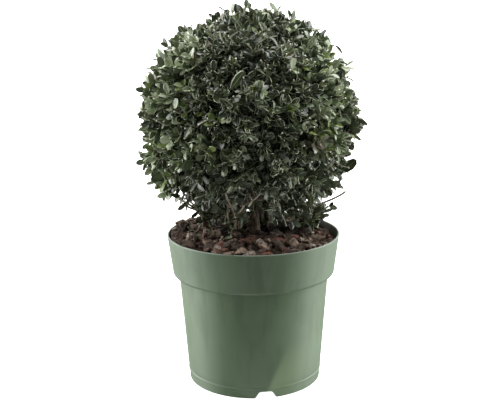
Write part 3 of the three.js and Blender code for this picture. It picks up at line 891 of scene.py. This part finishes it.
def wooded(paths, girths, bark):
    """Paths with their radii, which taper from a flared foot, and with the number of their bark."""
    radius, tip, flare = girths
    limbs = []
    for path in paths:
        along = np.linspace(0, 1, len(path))
        radii = radius + (tip - radius) * along + flare * np.exp(-along / FLARE_SHARE)
        limbs.append((path, radii, bark))
    return limbs


def keep(mesh, label, kind, domain, values):
    """Keeps a value at each point or face of a mesh."""
    field = "vector" if kind == "FLOAT_VECTOR" else "value"
    mesh.attributes.new(label, kind, domain).data.foreach_set(field, np.ravel(values))


def thread(name, limbs):
    """A mesh of plain edges along limbs that keeps each limb's radii and bark at its points."""
    paths, radii, barks = zip(*limbs)
    edges = []
    count = 0
    for path in paths:
        edges += [(count + i, count + i + 1) for i in range(len(path) - 1)]
        count += len(path)
    mesh = bpy.data.meshes.new(name)
    mesh.from_pydata(np.concatenate(paths), edges, [])
    keep(mesh, "girth", "FLOAT", "POINT", np.concatenate(radii))
    keep(mesh, "bark", "INT", "POINT", np.repeat(barks, [len(path) for path in paths]))
    return mesh


def limb_tree(name, barks):
    """Round limbs along edges, with ribs of bark raised on them, each in its own kind of bark."""
    tree, given = geometry_tree(name, {"Sides": "Int", "Rib": "Float"})
    wire = Wire(tree)
    curve = wire.add("GeometryNodeMeshToCurve", sockets={"Mesh": given["Geometry"]})
    ring = wire.add("GeometryNodeCurvePrimitiveCircle",
                    sockets={"Resolution": given["Sides"], "Radius": 1.0})
    tube = wire.add("GeometryNodeCurveToMesh", sockets={
        "Curve": curve, "Profile Curve": ring, "Scale": kept(wire, "girth", "FLOAT"), "Fill Caps": True})
    place = wire.add("GeometryNodeInputPosition")
    raised = wire.noise(place.times(RIB_DRAW), *RIBS) + wire.noise(place, *KNOTS) - 1.0
    outward = wire.add("GeometryNodeInputNormal")
    shift = wire.add("ShaderNodeVectorMath", {"operation": "SCALE"},
                     {0: outward, "Scale": raised * given["Rib"]})
    tube = wire.add("GeometryNodeSetPosition", sockets={"Geometry": tube, "Offset": shift})
    tube = wire.add("GeometryNodeSetShadeSmooth", sockets={"Geometry": tube})
    tube = wire.add("GeometryNodeRealizeInstances", sockets={"Geometry": tube})
    end_tree(tree, painted(wire, tube, "bark", barks))
    return tree


def stem_bark():
    """Tan bark, dark in its furrows, with grey patches of lichen."""
    material, wire, place = new_material("stem bark")
    furrow = wire.noise(place.times(FURROW_DRAW), *FURROW)
    lichen = wire.ramp(wire.noise(place, *LICHEN), *LICHEN_SPAN) * LICHEN_SHARE
    colour = wire.mix(wire.ramp(furrow, *FURROW_SPAN), BARK_DARK, BARK_TAN)
    return dress(material, {
        "Base Color": wire.mix(lichen, colour, BARK_GREY),
        "Roughness": between(*BARK_ROUGHNESS, furrow),
        "Normal": wire.bump(*FURROW_BUMP, furrow),
    })


masses = crown_masses()
limb_maker = limb_tree("woody limb", [stem_bark()])
for node, (path, girths) in grow_limbs(masses).items():
    wood = thread(node, wooded([path], girths, 0))
    piece = grown(f"woody_{node}", wood, limb_maker, {"Sides": LIMB_SIDES, "Rib": BARK_RIB})
    put_in_place(piece, node)

# Twigs: each leaf mass has one stem of its own, which goes on from its bough or stem inside the crown.
# Branchlets fork from it to an even lattice of places, and leafy shoots from those, as in the solids.
# Where the crown was clipped, bare twigs end in pale cuts.

GOLDEN_ANGLE = math.pi * (3 - math.sqrt(5))
GROWTH_SEED = 16
FORK_SEED = 18
FOOT_OPENING = math.radians(16)
MASS_STEM_GIRTH = (1.9 * MM, 1.3 * MM, 0)
MASS_STEM_STEPS = 24
BRANCHLETS = 260
BRANCHLET_FORKS = (0.45, 1)
BRANCHLET_SWAY = 0.15
BRANCHLET_REACH = 0.75
BRANCHLET_JITTER = 0.05
BRANCHLET_STEPS = 9
BRANCHLET_GIRTH = (1.3 * MM, 0.9 * MM, 0)
SHOOTS = 2100
SHOOT_FORKS = (0.5, 1)
SHOOT_SPREAD = 0.8
SHOOT_WANDER = 0.25
SHOOT_INSET = 16 * MM
SHOOT_JITTER = 9 * MM
# The least, the likeliest and the most of that jitter
JITTER_ODDS = (-1, -0.2, 1)
SPRAY_JITTER = 7 * MM
SPRAY_PULL = 0.42
SHOOT_STEPS = 6
SHOOT_GIRTH = (0.85 * MM, 0.6 * MM, 0)
SHOOT_SWAY = 0.42
SHOOT_RISE = 0.12
LOWEST_TIP = 190 * MM
CLIPPED = 820
CLIPPED_INSET = 11 * MM
CLIPPED_GIRTH = (0.8 * MM, 0.6 * MM, 0)
CUT_GIRTH = (1.05 * MM, 1.05 * MM, 0)
CUT_LENGTH = 0.7 * MM
LEFT_LEAN = 0.5 * MM
TOP_CLIP = 4 * MM
TOP_CLIP_POWER = 4
# Dents in the clipped ball: which way each lies from the middle, how wide it is and how deep
DENTS = (((-0.49, 0.1, 0.87), 0.06, 2 * MM), ((0.82, 0, -0.57), 0.02, 6 * MM),
         ((0.98, 0, 0.17), 0.015, 6 * MM), ((0.86, 0, 0.5), 0.01, 4 * MM))
# Shares of the lowest shoots that are missing in front, at the back and on the left, and the share of
# that loss which the leaves on the branchlets have. Spans are parts of a heading from the crown's
# middle: the loss fades out upwards over LOW_SPAN, from front to back over DEPTH_SPAN, and away from
# the left over LEFT_SPAN
FRONT_LOSS = 0.9
BACK_LOSS = 0.1
LEFT_LOSS = 0.75
INNER_LOSS = 0.55
LOW_SPAN = (-0.7, -0.35)
DEPTH_SPAN = (-0.3, 0.3)
LEFT_SPAN = (-0.5, -0.25)
# Thin stems that leave an outer stem near the ground and rise into its mass
FORKS = 4
FORK_SPAN = (0.02, 0.08)
FORK_SPREAD = 0.5
FORK_REACH = 0.7
FORK_GIRTH = (1.6 * MM, 1.0 * MM, 0)
# Leafy shoots low on the outer stems: how many, and towards which azimuth
BASAL_SHOOTS = {"lower_1": (12, math.radians(330)), "lower_2": (18, math.radians(90)),
                "lower_3": (7, math.radians(20)), "lower_4": (10, math.radians(110))}
BASAL_SPAN = (0.03, 0.16)
BASAL_FAN = math.radians(80)
BASAL_REACH = (6 * MM, 26 * MM)
BASAL_RISE = (4 * MM, 22 * MM)
# Shoots that stand out of the crown: where each ends in millimetres, and how many pairs of leaves it bears
STRAYS = (((-2, 0, 441), 3), ((30, 0, 438), 3), ((110, 0, 227), 0), ((90, 2, 209), 0),
          ((-84, 2, 214), 0), ((102, -6, 251), 0), ((-108, 5, 233), 3), ((-100, 0, 226), 2),
          ((-117, 0, 306), 3), ((-121, -10, 323), 2), ((-121, 0, 288), 3), ((-109, 0, 268), 3),
          ((-106, -8, 252), 3), ((95, 0, 399), 2), ((116, 0, 297), 3), ((8, -95, 248), 0),
          ((-30, -95, 248), 0), ((25, -86, 244), 0), ((-52, -76, 246), 0), ((48, -80, 247), 0),
          ((-10, -86, 232), 0), ((-70, -45, 232), 0), ((-86, 12, 229), 0))
# Where they fork off: as a share of a branchlet, or in turn as shares of a stem if they end low down
STRAY_FORK = 0.7
STRAY_LOW = 250 * MM
STRAY_LOW_FORKS = (0.08, 0.05, 0.15, 0.11, 0.2)
STRAY_STEPS = 18
STRAY_GIRTH = (1.4 * MM, 1.1 * MM, 0)
TWIG_SIDES = 4
TWIG_RIB = 0.15 * MM
# Barks of the twigs: colour, roughness and strength of the dimples
TWIG_BARKS = {
    "twig bark": ((0.170, 0.140, 0.092, 1), 0.6, 0.5),
    "shoot bark": ((0.600, 0.580, 0.420, 1), 0.45, 0.3),
    "cut wood": ((0.900, 0.880, 0.780, 1), 0.7, 0.3),
    "pale bark": ((0.500, 0.440, 0.340, 1), 0.7, 0.6),
}
TWIG_BARK, SHOOT_BARK, CUT_WOOD, PALE_BARK = range(len(TWIG_BARKS))
DIMPLES = (420.0, 3.0)
DIMPLE_DEPTH = 0.5 * MM
DIMPLE_ROUGHNESS = 0.12
PLANT_SHINE = 1.0


def even_directions(count):
    """Directions spread evenly over the whole crown."""
    k = np.arange(count)
    height = 1 - (2 * k + 1) / count
    flat = np.sqrt(1 - height**2)
    turn = k * GOLDEN_ANGLE
    return np.stack((flat * np.cos(turn), flat * np.sin(turn), height), axis=1)


def homes(directions):
    """The number of the mass that each direction belongs to."""
    return np.argmax(directions @ np.stack([m["toward"] for m in masses]).T, axis=1)


def shared_out(directions):
    """The directions that belong to each mass."""
    home = homes(directions)
    return [directions[home == number] for number in range(len(masses))]


def mass_stem(mass):
    hub = CROWN_CENTRE + mass["toward"] * HUB_RADIUS
    if "carrier" not in mass:
        return np.linspace(limb_tip(mass), hub, MASS_STEM_STEPS)
    start, _ = along_limb(mass["carrier"], LOWER_FORK)
    leaving = unit(compass(mass["azimuth"]) + UP)
    return limb_path(start, leaving, hub, UP, MASS_STEM_STEPS)


def grow_branchlets(mass, stem, directions, draw):
    paths = []
    for toward in directions:
        root, heading = along_limb(stem, draw.uniform(*BRANCHLET_FORKS))
        leaving = unit(heading + toward + draw.normal(size=3) * BRANCHLET_SWAY)
        reach = BRANCHLET_REACH + draw.uniform(-BRANCHLET_JITTER, BRANCHLET_JITTER)
        end = CROWN_CENTRE + toward * mass["reach"] * reach
        paths.append(limb_path(root, leaving, end, toward, BRANCHLET_STEPS))
    return paths


def crown_reach(mass, toward):
    """How far the crown goes that way: more to the left, less on its clipped top and in its dents."""
    flat = TOP_CLIP * max(0.0, toward[2]) ** TOP_CLIP_POWER
    dents = sum(depth * math.exp((toward @ np.array(way) - 1) / width) for way, width, depth in DENTS)
    return mass["reach"] - LEFT_LEAN * toward[0] - flat - dents


def left_out(toward, share, draw):
    """If a shoot is missing: low down the crown thins out, more in front and on the left than behind."""
    low = np.interp(toward[2], LOW_SPAN, (1, 0))
    loss = np.interp(toward[1], DEPTH_SPAN, (FRONT_LOSS, BACK_LOSS))
    loss = max(loss, np.interp(toward[0], LEFT_SPAN, (LEFT_LOSS, 0)))
    return draw.uniform() < share * loss * low


def grow_shoots(mass, directions, branchlets, shoot_inset, draw):
    """Shoots from the nearest branchlets, of which each pulls its own together to a spray."""
    ends = unit(np.stack([path[-1] for path in branchlets]) - CROWN_CENTRE)
    lengths = SPRAY_JITTER * draw.uniform(-1, 1, len(branchlets))
    paths = []
    for toward in directions:
        number = int(np.argmax(ends @ toward))
        root, heading = along_limb(branchlets[number], draw.uniform(*SHOOT_FORKS))
        toward = unit(between(toward, ends[number], SPRAY_PULL))
        leaving = unit(heading + SHOOT_SPREAD * toward + draw.normal(size=3) * SHOOT_WANDER)
        inset = shoot_inset + SHOOT_JITTER * draw.triangular(*JITTER_ODDS) - lengths[number]
        end = CROWN_CENTRE + toward * (crown_reach(mass, toward) - inset)
        arriving = unit(toward + SHOOT_SWAY * draw.normal(size=3) + SHOOT_RISE * UP)
        if end[2] > LOWEST_TIP and not left_out(toward, 1, draw):
            paths.append(limb_path(root, leaving, end, arriving, SHOOT_STEPS))
    return paths


def grow_basal(mass, draw):
    """Short leafy shoots low on the stem that carries the mass."""
    count, azimuth = BASAL_SHOOTS.get(mass["name"], (0, 0))
    paths = []
    for _ in range(count):
        root, heading = along_limb(mass["carrier"], draw.uniform(*BASAL_SPAN))
        outward = compass(azimuth + BASAL_FAN * draw.uniform(-1, 1))
        end = root + outward * draw.uniform(*BASAL_REACH) + UP * draw.uniform(*BASAL_RISE)
        paths.append(limb_path(root, unit(outward + heading), end, unit(outward + UP), SHOOT_STEPS))
    return paths


def grow_forks(mass, draw):
    """Thin bare stems from the foot of the outer stem up into its mass."""
    paths = []
    for _ in range(FORKS if "carrier" in mass else 0):
        root, heading = along_limb(mass["carrier"], draw.uniform(*FORK_SPAN))
        toward = unit(mass["toward"] + FORK_SPREAD * draw.normal(size=3))
        end = CROWN_CENTRE + toward * mass["reach"] * FORK_REACH
        leaving = unit(heading + compass(draw.uniform(0, 2 * math.pi)))
        paths.append(limb_path(root, leaving, end, toward, MASS_STEM_STEPS))
    return paths


def grow_strays(mass, tips, branchlets):
    """Shoots that stand out of the crown, from the nearest branchlet, or low down from the stem."""
    paths = []
    for i, tip in enumerate(tips):
        limb = min(branchlets, key=lambda path: np.linalg.norm(path[-1] - tip))
        share = STRAY_FORK
        if "carrier" in mass and tip[2] < STRAY_LOW:
            limb = mass["carrier"]
            share = STRAY_LOW_FORKS[i % len(STRAY_LOW_FORKS)]
        root, heading = along_limb(limb, share)
        paths.append(limb_path(root, heading, tip, unit(tip - root), STRAY_STEPS))
    return paths


def cut_end(path):
    """The short stub that a clipped twig ends in."""
    _, heading = along_limb(path, 1)
    return np.stack((path[-1], path[-1] + CUT_LENGTH * heading))


def plant_skin(name, colour, roughness, dimples):
    """One colour, with fine dimples in the surface."""
    material, wire, place = new_material(name)
    dimple = wire.noise(place, *DIMPLES)
    return dress(material, {
        "Base Color": colour,
        "Roughness": roughness + dimple * DIMPLE_ROUGHNESS,
        "Specular IOR Level": PLANT_SHINE,
        "Normal": wire.bump(dimples, DIMPLE_DEPTH, dimple),
    })


draw = np.random.default_rng(GROWTH_SEED)
fork_draw = np.random.default_rng(FORK_SEED)
branchlet_ways = shared_out(even_directions(BRANCHLETS))
shoot_ways = even_directions(SHOOTS)
shoot_ways = shared_out(shoot_ways[shoot_ways[:, 2] > -math.cos(FOOT_OPENING)])
clipped_ways = shared_out(even_directions(CLIPPED))
stray_tips = np.array([tip for tip, _ in STRAYS]) * MM
stray_pairs = np.array([pairs for _, pairs in STRAYS])
stray_homes = homes(unit(stray_tips - CROWN_CENTRE))
twig_maker = limb_tree("twig", [plant_skin(name, *bark) for name, bark in TWIG_BARKS.items()])
for number, mass in enumerate(masses):
    stem = mass_stem(mass)
    branchlets = grow_branchlets(mass, stem, branchlet_ways[number], draw)
    shoots = grow_shoots(mass, shoot_ways[number], branchlets, SHOOT_INSET, draw)
    clipped = grow_shoots(mass, clipped_ways[number], branchlets, CLIPPED_INSET, draw)
    shoots += grow_basal(mass, draw)
    strays = grow_strays(mass, stray_tips[stray_homes == number], branchlets)
    mass["branchlets"] = branchlets
    mass["shoots"] = shoots
    mass["strays"] = list(zip(strays, stray_pairs[stray_homes == number]))
    limbs = wooded([stem], MASS_STEM_GIRTH, TWIG_BARK)
    limbs += wooded(grow_forks(mass, fork_draw), FORK_GIRTH, PALE_BARK)
    limbs += wooded(branchlets, BRANCHLET_GIRTH, TWIG_BARK)
    limbs += wooded(shoots, SHOOT_GIRTH, SHOOT_BARK)
    for path, pairs in mass["strays"]:
        limbs += wooded([path], STRAY_GIRTH, TWIG_BARK if pairs else PALE_BARK)
    limbs += wooded(clipped, CLIPPED_GIRTH, SHOOT_BARK)
    limbs += wooded([cut_end(path) for path in clipped], CUT_GIRTH, CUT_WOOD)
    wood = thread(f"twigs {mass['name']}", limbs)
    piece = grown(f"twigs_{mass['name']}", wood, twig_maker, {"Sides": TWIG_SIDES, "Rib": TWIG_RIB})
    put_in_place(piece, f"foliage_{mass['name']}")

# Leaves: small, leathery and blunt, in crossed pairs along each shoot, smaller and less open at its tip.
# Each is folded along its pale midrib, glossy above and dull below, and many have a pale margin, partly its
# own colour and partly a highlight painted along the edge.
# The leaves at a shoot's tip share a tint, and its older ones mostly have a darker one. Tints are dealt by
# place to paint light and shade: dark in front and low in the middle, pale grey on the flanks and on top.

LEAF_SEED = 17
PAIRS = 5
PAIR_SPACING = 5.4 * MM
PAIR_JITTER = 0.15
LEAF_LENGTHS = (9 * MM, 14.5 * MM)
LEAF_SIZES = (0.65, 1.25)
YOUNGEST_SHARE = 0.35
LEAF_LOSS = 0.07
LEAF_OPENING = (math.radians(34), math.radians(80))
OPENING_JITTER = 0.2
LEAF_SPLAY = 0.25
LEAF_LIFT = 0.2
LEAF_ROLL = 0.4
LEAF_STATIONS = (0.3, 0.62, 0.9)
LEAF_HALF_WIDTHS = (0.22, 0.28, 0.175)
LEAF_RIB = 0.024
LEAF_RIB_TAPER = 0.7
LEAF_MARGIN = 0.84
LEAF_CURL = 0.035
LEAF_THICKNESS = 0.03
LEAF_CREASE = 40
# Shapes of a leaf: how far its halves fold up, how far its tip bends down, how broad it is against
# the widths above, and if its margin is pale
LEAF_SHAPES = ((0.30, 0.10, 0.95, True), (0.16, -0.08, 1.1, False), (0.55, 0.16, 0.8, True),
               (0.06, 0.18, 1.15, False), (-0.12, 0.12, 1.0, True), (0.10, 0.02, 0.8, True),
               (0.36, 0.2, 0.95, False), (0.75, 0.22, 0.7, True))
# How often each shape comes on the front of the crown, on its flanks and on top, and at its back
FRONT_SHAPES = np.array((0.10, 0.08, 0.18, 0.06, 0.12, 0.10, 0.16, 0.20))
FLANK_SHAPES = np.array((0.20, 0.19, 0.06, 0.23, 0.12, 0.12, 0.06, 0.02))
BACK_SHAPES = np.array((0.06, 0.34, 0.02, 0.28, 0.04, 0.04, 0.22, 0))
FLANK_SCALE = 1.12
# Leaves on the branchlets, inside the crown: low down they take the deep tint as painted shade, higher up
# the paler inner tint, partly as inner leaves are paler and partly as painted light in the shade between
# the leaves
INNER_PAIRS = 7
INNER_SPACING = 6 * MM
INNER_SCALE = 1.25
LOW_INNER_HEIGHT = 285 * MM
LEAF_TINTS = {
    "deep leaf": (0.031, 0.049, 0.019, 1),
    "dark leaf": (0.058, 0.088, 0.031, 1),
    "mid leaf": (0.158, 0.222, 0.077, 1),
    "grey leaf": (0.475, 0.560, 0.350, 1),
    "fresh leaf": (0.247, 0.337, 0.084, 1),
    "old leaf": (0.190, 0.150, 0.085, 1),
    "inner leaf": (0.211, 0.271, 0.132, 1),
}
DEEP, DARK, MID, GREY, FRESH, OLD, INNER = range(len(LEAF_TINTS))
# The tint that an older leaf of a shoot has, for each tint of the shoot's tip
OLDER_TINTS = {DEEP: DEEP, DARK: DEEP, MID: DARK, GREY: MID, FRESH: MID, OLD: OLD, INNER: INNER}
FRESH_PAIRS = 3
# How often each of the first six tints comes on the front, on the flanks and on top, and at the back. The
# dark front tints paint shade, and the pale grey ones on the flanks and top paint the side and top light
# and its sheen
FRONT_TINTS = np.array((0.64, 0.23, 0.05, 0.03, 0.03, 0.02))
FLANK_TINTS = np.array((0.07, 0.16, 0.14, 0.46, 0.15, 0.02))
BACK_TINTS = np.array((0.26, 0.36, 0.24, 0.04, 0.08, 0.02))
LEAF_ROUGHNESS = 0.18
LEAF_DIMPLES = 0.25
# Sides of a leaf that aren't its blade: colour and roughness. The margin's pale colour is partly its own
# and partly a painted highlight along the edges
LEAF_SIDES = {
    "leaf midrib": ((0.252, 0.291, 0.158, 1), 0.42),
    "leaf underside": ((0.160, 0.201, 0.115, 1), 0.5),
    "leaf margin": ((0.640, 0.690, 0.470, 1), 0.3),
}
BLADE, MIDRIB, UNDERSIDE, MARGIN = range(1 + len(LEAF_SIDES))
# Parts of the crown, each a share that changes along an axis: its slope over a crown radius, and its offset
LOW_PART = (-1 / 0.7, 0.25 / 0.7)
FLANK_PART = (2.2, -0.45)
TOP_PART = (2.5, -1.5)
BACK_PART = (3, 0)
SHADY_FOOT = (-3.2, -0.9)
SHADY_MIDDLE = (-3.4, 2.2)
# How pale, as painted light, and how broad the leaves of each part are, and what the flanks lose of that
# low down
PALE_FLANK = 0.9
PALE_FLANK_LOSS = 0.7
PALE_LOW = 0.15
PALE_LOW_LEFT = 0.7
PALE_TOP = 0.25
# Single leaves: where each is joined on and its length in millimetres, with its heading and which way
# it faces in between, then the numbers of its shape and tint
SINGLE_LEAVES = (((102, -6, 251), (0.82, 0, 0.57), (-0.4, -0.65, 0.6), 25, 1, DARK),
                 ((-23, -112, 362), (0.62, 0.2, 0.76), (0.55, -0.8, 0.2), 25, 5, DARK),
                 ((90, 2, 209), (0.95, -0.1, -0.2), (0.1, -0.8, 0.6), 11, 3, DARK),
                 ((90, 2, 209), (0.7, -0.3, 0.5), (-0.4, -0.7, 0.5), 8, 1, DEEP),
                 ((-84, 2, 214), (0.9, -0.2, -0.15), (0.1, -0.6, 0.8), 9, 1, DEEP))
FALLEN = 44
FALLEN_TURN = math.radians(190)
FALLEN_SPREAD = math.radians(75)
FALLEN_REACH = 82 * MM
FALLEN_SPAN = (0.1, 1)
FALLEN_LIFT = 4.5 * MM
FALLEN_TILT = 0.45
FALLEN_LENGTHS = (7.7 * MM, 14.3 * MM)
FALLEN_TINTS = (GREY, OLD)


def leaf_mesh(number, fold, droop, breadth, pale_margin):
    """A leaf of unit length along +X that faces +Z: two folded halves with a rib between them,
    a margin that rolls under, and an underside. All of them meet at its foot and its tip."""
    margin = MARGIN if pale_margin else BLADE
    # Strips from foot to tip: the side that each is on, and its edges' places in a row of points
    strips = ((BLADE, 0, 1), (MIDRIB, 1, 2), (BLADE, 2, 3), (margin, 4, 0), (margin, 3, 5),
              (UNDERSIDE, 6, 4), (UNDERSIDE, 5, 6))
    points = [(0, 0, 0)]
    rows = []
    for along, half in zip(LEAF_STATIONS, breadth * np.array(LEAF_HALF_WIDTHS)):
        rows.append(len(points))
        level = -droop * along**2
        rib = LEAF_RIB * (1 - LEAF_RIB_TAPER * along)
        inner = LEAF_MARGIN * half
        points += [(along, y, level + fold * abs(y)) for y in (-inner, -rib, rib, inner)]
        points += [(along, y, level + fold * inner - LEAF_CURL) for y in (-half, half)]
        points.append((along, 0, level - LEAF_THICKNESS))
    points.append((1, 0, -droop))
    tip = len(points) - 1
    faces = []
    sides = []
    for side, right, left in strips:
        faces.append((0, rows[0] + right, rows[0] + left))
        faces += [(a + right, b + right, b + left, a + left) for a, b in zip(rows, rows[1:])]
        faces.append((rows[-1] + right, tip, rows[-1] + left))
        sides += [side] * (len(rows) + 1)
    mesh = bpy.data.meshes.new(f"leaf {number}")
    mesh.from_pydata(points, [], faces)
    keep(mesh, "side", "INT", "FACE", sides)
    smooth(mesh, LEAF_CREASE)
    return mesh


def leaf_tree(tints, sides):
    """Sets a leaf on each point, turned as the point says, and paints its blade and its other sides."""
    tree, given = geometry_tree("leaves", {"Shapes": "Collection"})
    wire = Wire(tree)
    along = kept(wire, "along", "FLOAT_VECTOR")
    facing = kept(wire, "facing", "FLOAT_VECTOR")
    turn = wire.add("FunctionNodeAxesToRotation", {"primary_axis": "X", "secondary_axis": "Z"},
                    {"Primary Axis": along, "Secondary Axis": facing})
    leaves = wire.add("GeometryNodeInstanceOnPoints", sockets={
        "Points": given["Geometry"], "Instance": from_shelf(wire, given["Shapes"]),
        "Pick Instance": True, "Instance Index": kept(wire, "shape", "INT"),
        "Rotation": turn, "Scale": kept(wire, "size", "FLOAT")})
    leaves = wire.add("GeometryNodeRealizeInstances", sockets={"Geometry": leaves})
    leaves = painted(wire, leaves, "tint", tints)
    end_tree(tree, painted(wire, leaves, "side", sides, first=MIDRIB))
    return tree


def leaf_points(name, rows):
    """A mesh of loose points, each with its leaf's place, headings, size, shape and tint."""
    place, along, facing, size, shape, tint = (np.array(column) for column in zip(*rows))
    mesh = bpy.data.meshes.new(name)
    mesh.from_pydata(place, [], [])
    keep(mesh, "along", "FLOAT_VECTOR", "POINT", along)
    keep(mesh, "facing", "FLOAT_VECTOR", "POINT", facing)
    keep(mesh, "size", "FLOAT", "POINT", size)
    keep(mesh, "shape", "INT", "POINT", shape)
    keep(mesh, "tint", "INT", "POINT", tint)
    return mesh


def clamped(value):
    return min(1, max(0, value))


def sloped(value, slope, offset):
    return clamped(slope * value + offset)


def paleness(tip):
    """How pale and broad a shoot's leaves are: most on the flanks, then on top and low on the left, where
    pale tints paint the light.
    Those low in the middle are painted dark as shade."""
    x, _, z = (tip - CROWN_CENTRE) / CROWN_REACH["middle"]
    low = sloped(z, *LOW_PART)
    flank = sloped(abs(x), *FLANK_PART) * (1 - PALE_FLANK_LOSS * low)
    left = max(0, -x)
    shade = sloped(z, *SHADY_FOOT) * sloped(abs(x), *SHADY_MIDDLE)
    pale = PALE_FLANK * flank + (PALE_LOW + PALE_LOW_LEFT * left) * low + PALE_TOP * sloped(z, *TOP_PART)
    return min(1, pale) * (1 - shade)


def dealt(front, flank, back, tip):
    """Odds at a shoot's tip, from those of the crown's front, flanks and back."""
    behind = sloped((tip - CROWN_CENTRE)[1] / CROWN_REACH["middle"], *BACK_PART)
    return between(between(front, flank, paleness(tip)), back, behind)


def tint_of(tip, draw):
    """The number of a shoot's tint."""
    return int(draw.choice(len(FRONT_TINTS), p=dealt(FRONT_TINTS, FLANK_TINTS, BACK_TINTS, tip)))


def leaf_rows(path, pairs, spacing, scale, tint, draw):
    """The leaves of one shoot, in crossed pairs counted back from its tip."""
    tip, axis = along_limb(path, 1)
    step = spacing / np.linalg.norm(np.diff(path, axis=0), axis=1).sum()
    shape_odds = dealt(FRONT_SHAPES, FLANK_SHAPES, BACK_SHAPES, tip)
    scale = scale * between(1, FLANK_SCALE, paleness(tip))
    side = unit(np.cross(axis, unit(draw.normal(size=3))))
    rows = []
    for pair in range(min(pairs, 1 + int(1 / step))):
        across = np.cross(axis, side) if pair % 2 else side
        age = pair / max(pairs - 1, 1)
        leaf_tint = tint if pair < FRESH_PAIRS else OLDER_TINTS[tint]
        for sign in (1, -1):
            if draw.uniform() < LEAF_LOSS:
                continue
            outward = unit(sign * across + LEAF_SPLAY * draw.normal(size=3))
            opening = between(*LEAF_OPENING, age) + OPENING_JITTER * draw.normal()
            along = unit(math.cos(opening) * axis + math.sin(opening) * outward)
            upper = axis - along * (axis @ along)
            facing = unit(upper + LEAF_LIFT * UP + LEAF_ROLL * draw.normal(size=3))
            length = between(*LEAF_LENGTHS, min(1, age + YOUNGEST_SHARE))
            length = length * scale * draw.uniform(*LEAF_SIZES)
            from_tip = step * (pair + PAIR_JITTER * draw.uniform(-1, 1))
            place, _ = along_limb(path, clamped(1 - from_tip))
            shape = int(draw.choice(len(LEAF_SHAPES), p=shape_odds))
            rows.append((place, along, facing, length, shape, leaf_tint))
    return rows


def single_row(foot, along, facing, length, shape, tint):
    return np.array(foot) * MM, unit(np.array(along)), unit(np.array(facing)), length * MM, shape, tint


def fallen_rows(draw):
    """Dry leaves that lie about on the mulch."""
    rows = []
    for _ in range(FALLEN):
        toward = compass(draw.normal(FALLEN_TURN, FALLEN_SPREAD))
        x, y, _ = toward * FALLEN_REACH * math.sqrt(draw.uniform(*FALLEN_SPAN))
        place = np.array((x, y, soil_height(x, y) + FALLEN_LIFT))
        facing = unit(UP + FALLEN_TILT * draw.normal(size=3))
        along = unit(np.cross(facing, draw.normal(size=3)))
        length = draw.uniform(*FALLEN_LENGTHS)
        shape = int(draw.integers(len(LEAF_SHAPES)))
        rows.append((place, along, facing, length, shape, int(draw.choice(FALLEN_TINTS))))
    return rows


tint_skins = [plant_skin(name, colour, LEAF_ROUGHNESS, LEAF_DIMPLES) for name, colour in LEAF_TINTS.items()]
side_skins = [plant_skin(name, *look, LEAF_DIMPLES) for name, look in LEAF_SIDES.items()]
leaf_maker = leaf_tree(tint_skins, side_skins)
leaf_shapes = shelf("leaf shapes", [leaf_mesh(i + 1, *shape) for i, shape in enumerate(LEAF_SHAPES)])
draw = np.random.default_rng(LEAF_SEED)
single_rows = [single_row(*leaf) for leaf in SINGLE_LEAVES]
single_homes = homes(unit(np.stack([row[0] for row in single_rows]) - CROWN_CENTRE))
for number, mass in enumerate(masses):
    rows = []
    for path in mass["shoots"]:
        rows += leaf_rows(path, PAIRS, PAIR_SPACING, 1, tint_of(path[-1], draw), draw)
    for path in mass["branchlets"]:
        if left_out(unit(path[-1] - CROWN_CENTRE), INNER_LOSS, draw):
            continue
        # Low inner leaves are painted deep as shade; higher ones take the paler inner tint, partly painted
        # light
        tint = DEEP if path[-1][2] < LOW_INNER_HEIGHT else INNER
        rows += leaf_rows(path, INNER_PAIRS, INNER_SPACING, INNER_SCALE, tint, draw)
    for path, pairs in mass["strays"]:
        rows += leaf_rows(path, pairs, PAIR_SPACING, 1, tint_of(path[-1], draw), draw)
    rows += [row for row, home in zip(single_rows, single_homes) if home == number]
    points = leaf_points(f"leaves {mass['name']}", rows)
    piece = grown(f"leaves_{mass['name']}", points, leaf_maker, {"Shapes": leaf_shapes})
    put_in_place(piece, f"foliage_{mass['name']}")

fallen_points = leaf_points("fallen leaves", fallen_rows(draw))
fallen = grown("fallen_leaves", fallen_points, leaf_maker, {"Shapes": leaf_shapes})
put_in_place(fallen, "soil")
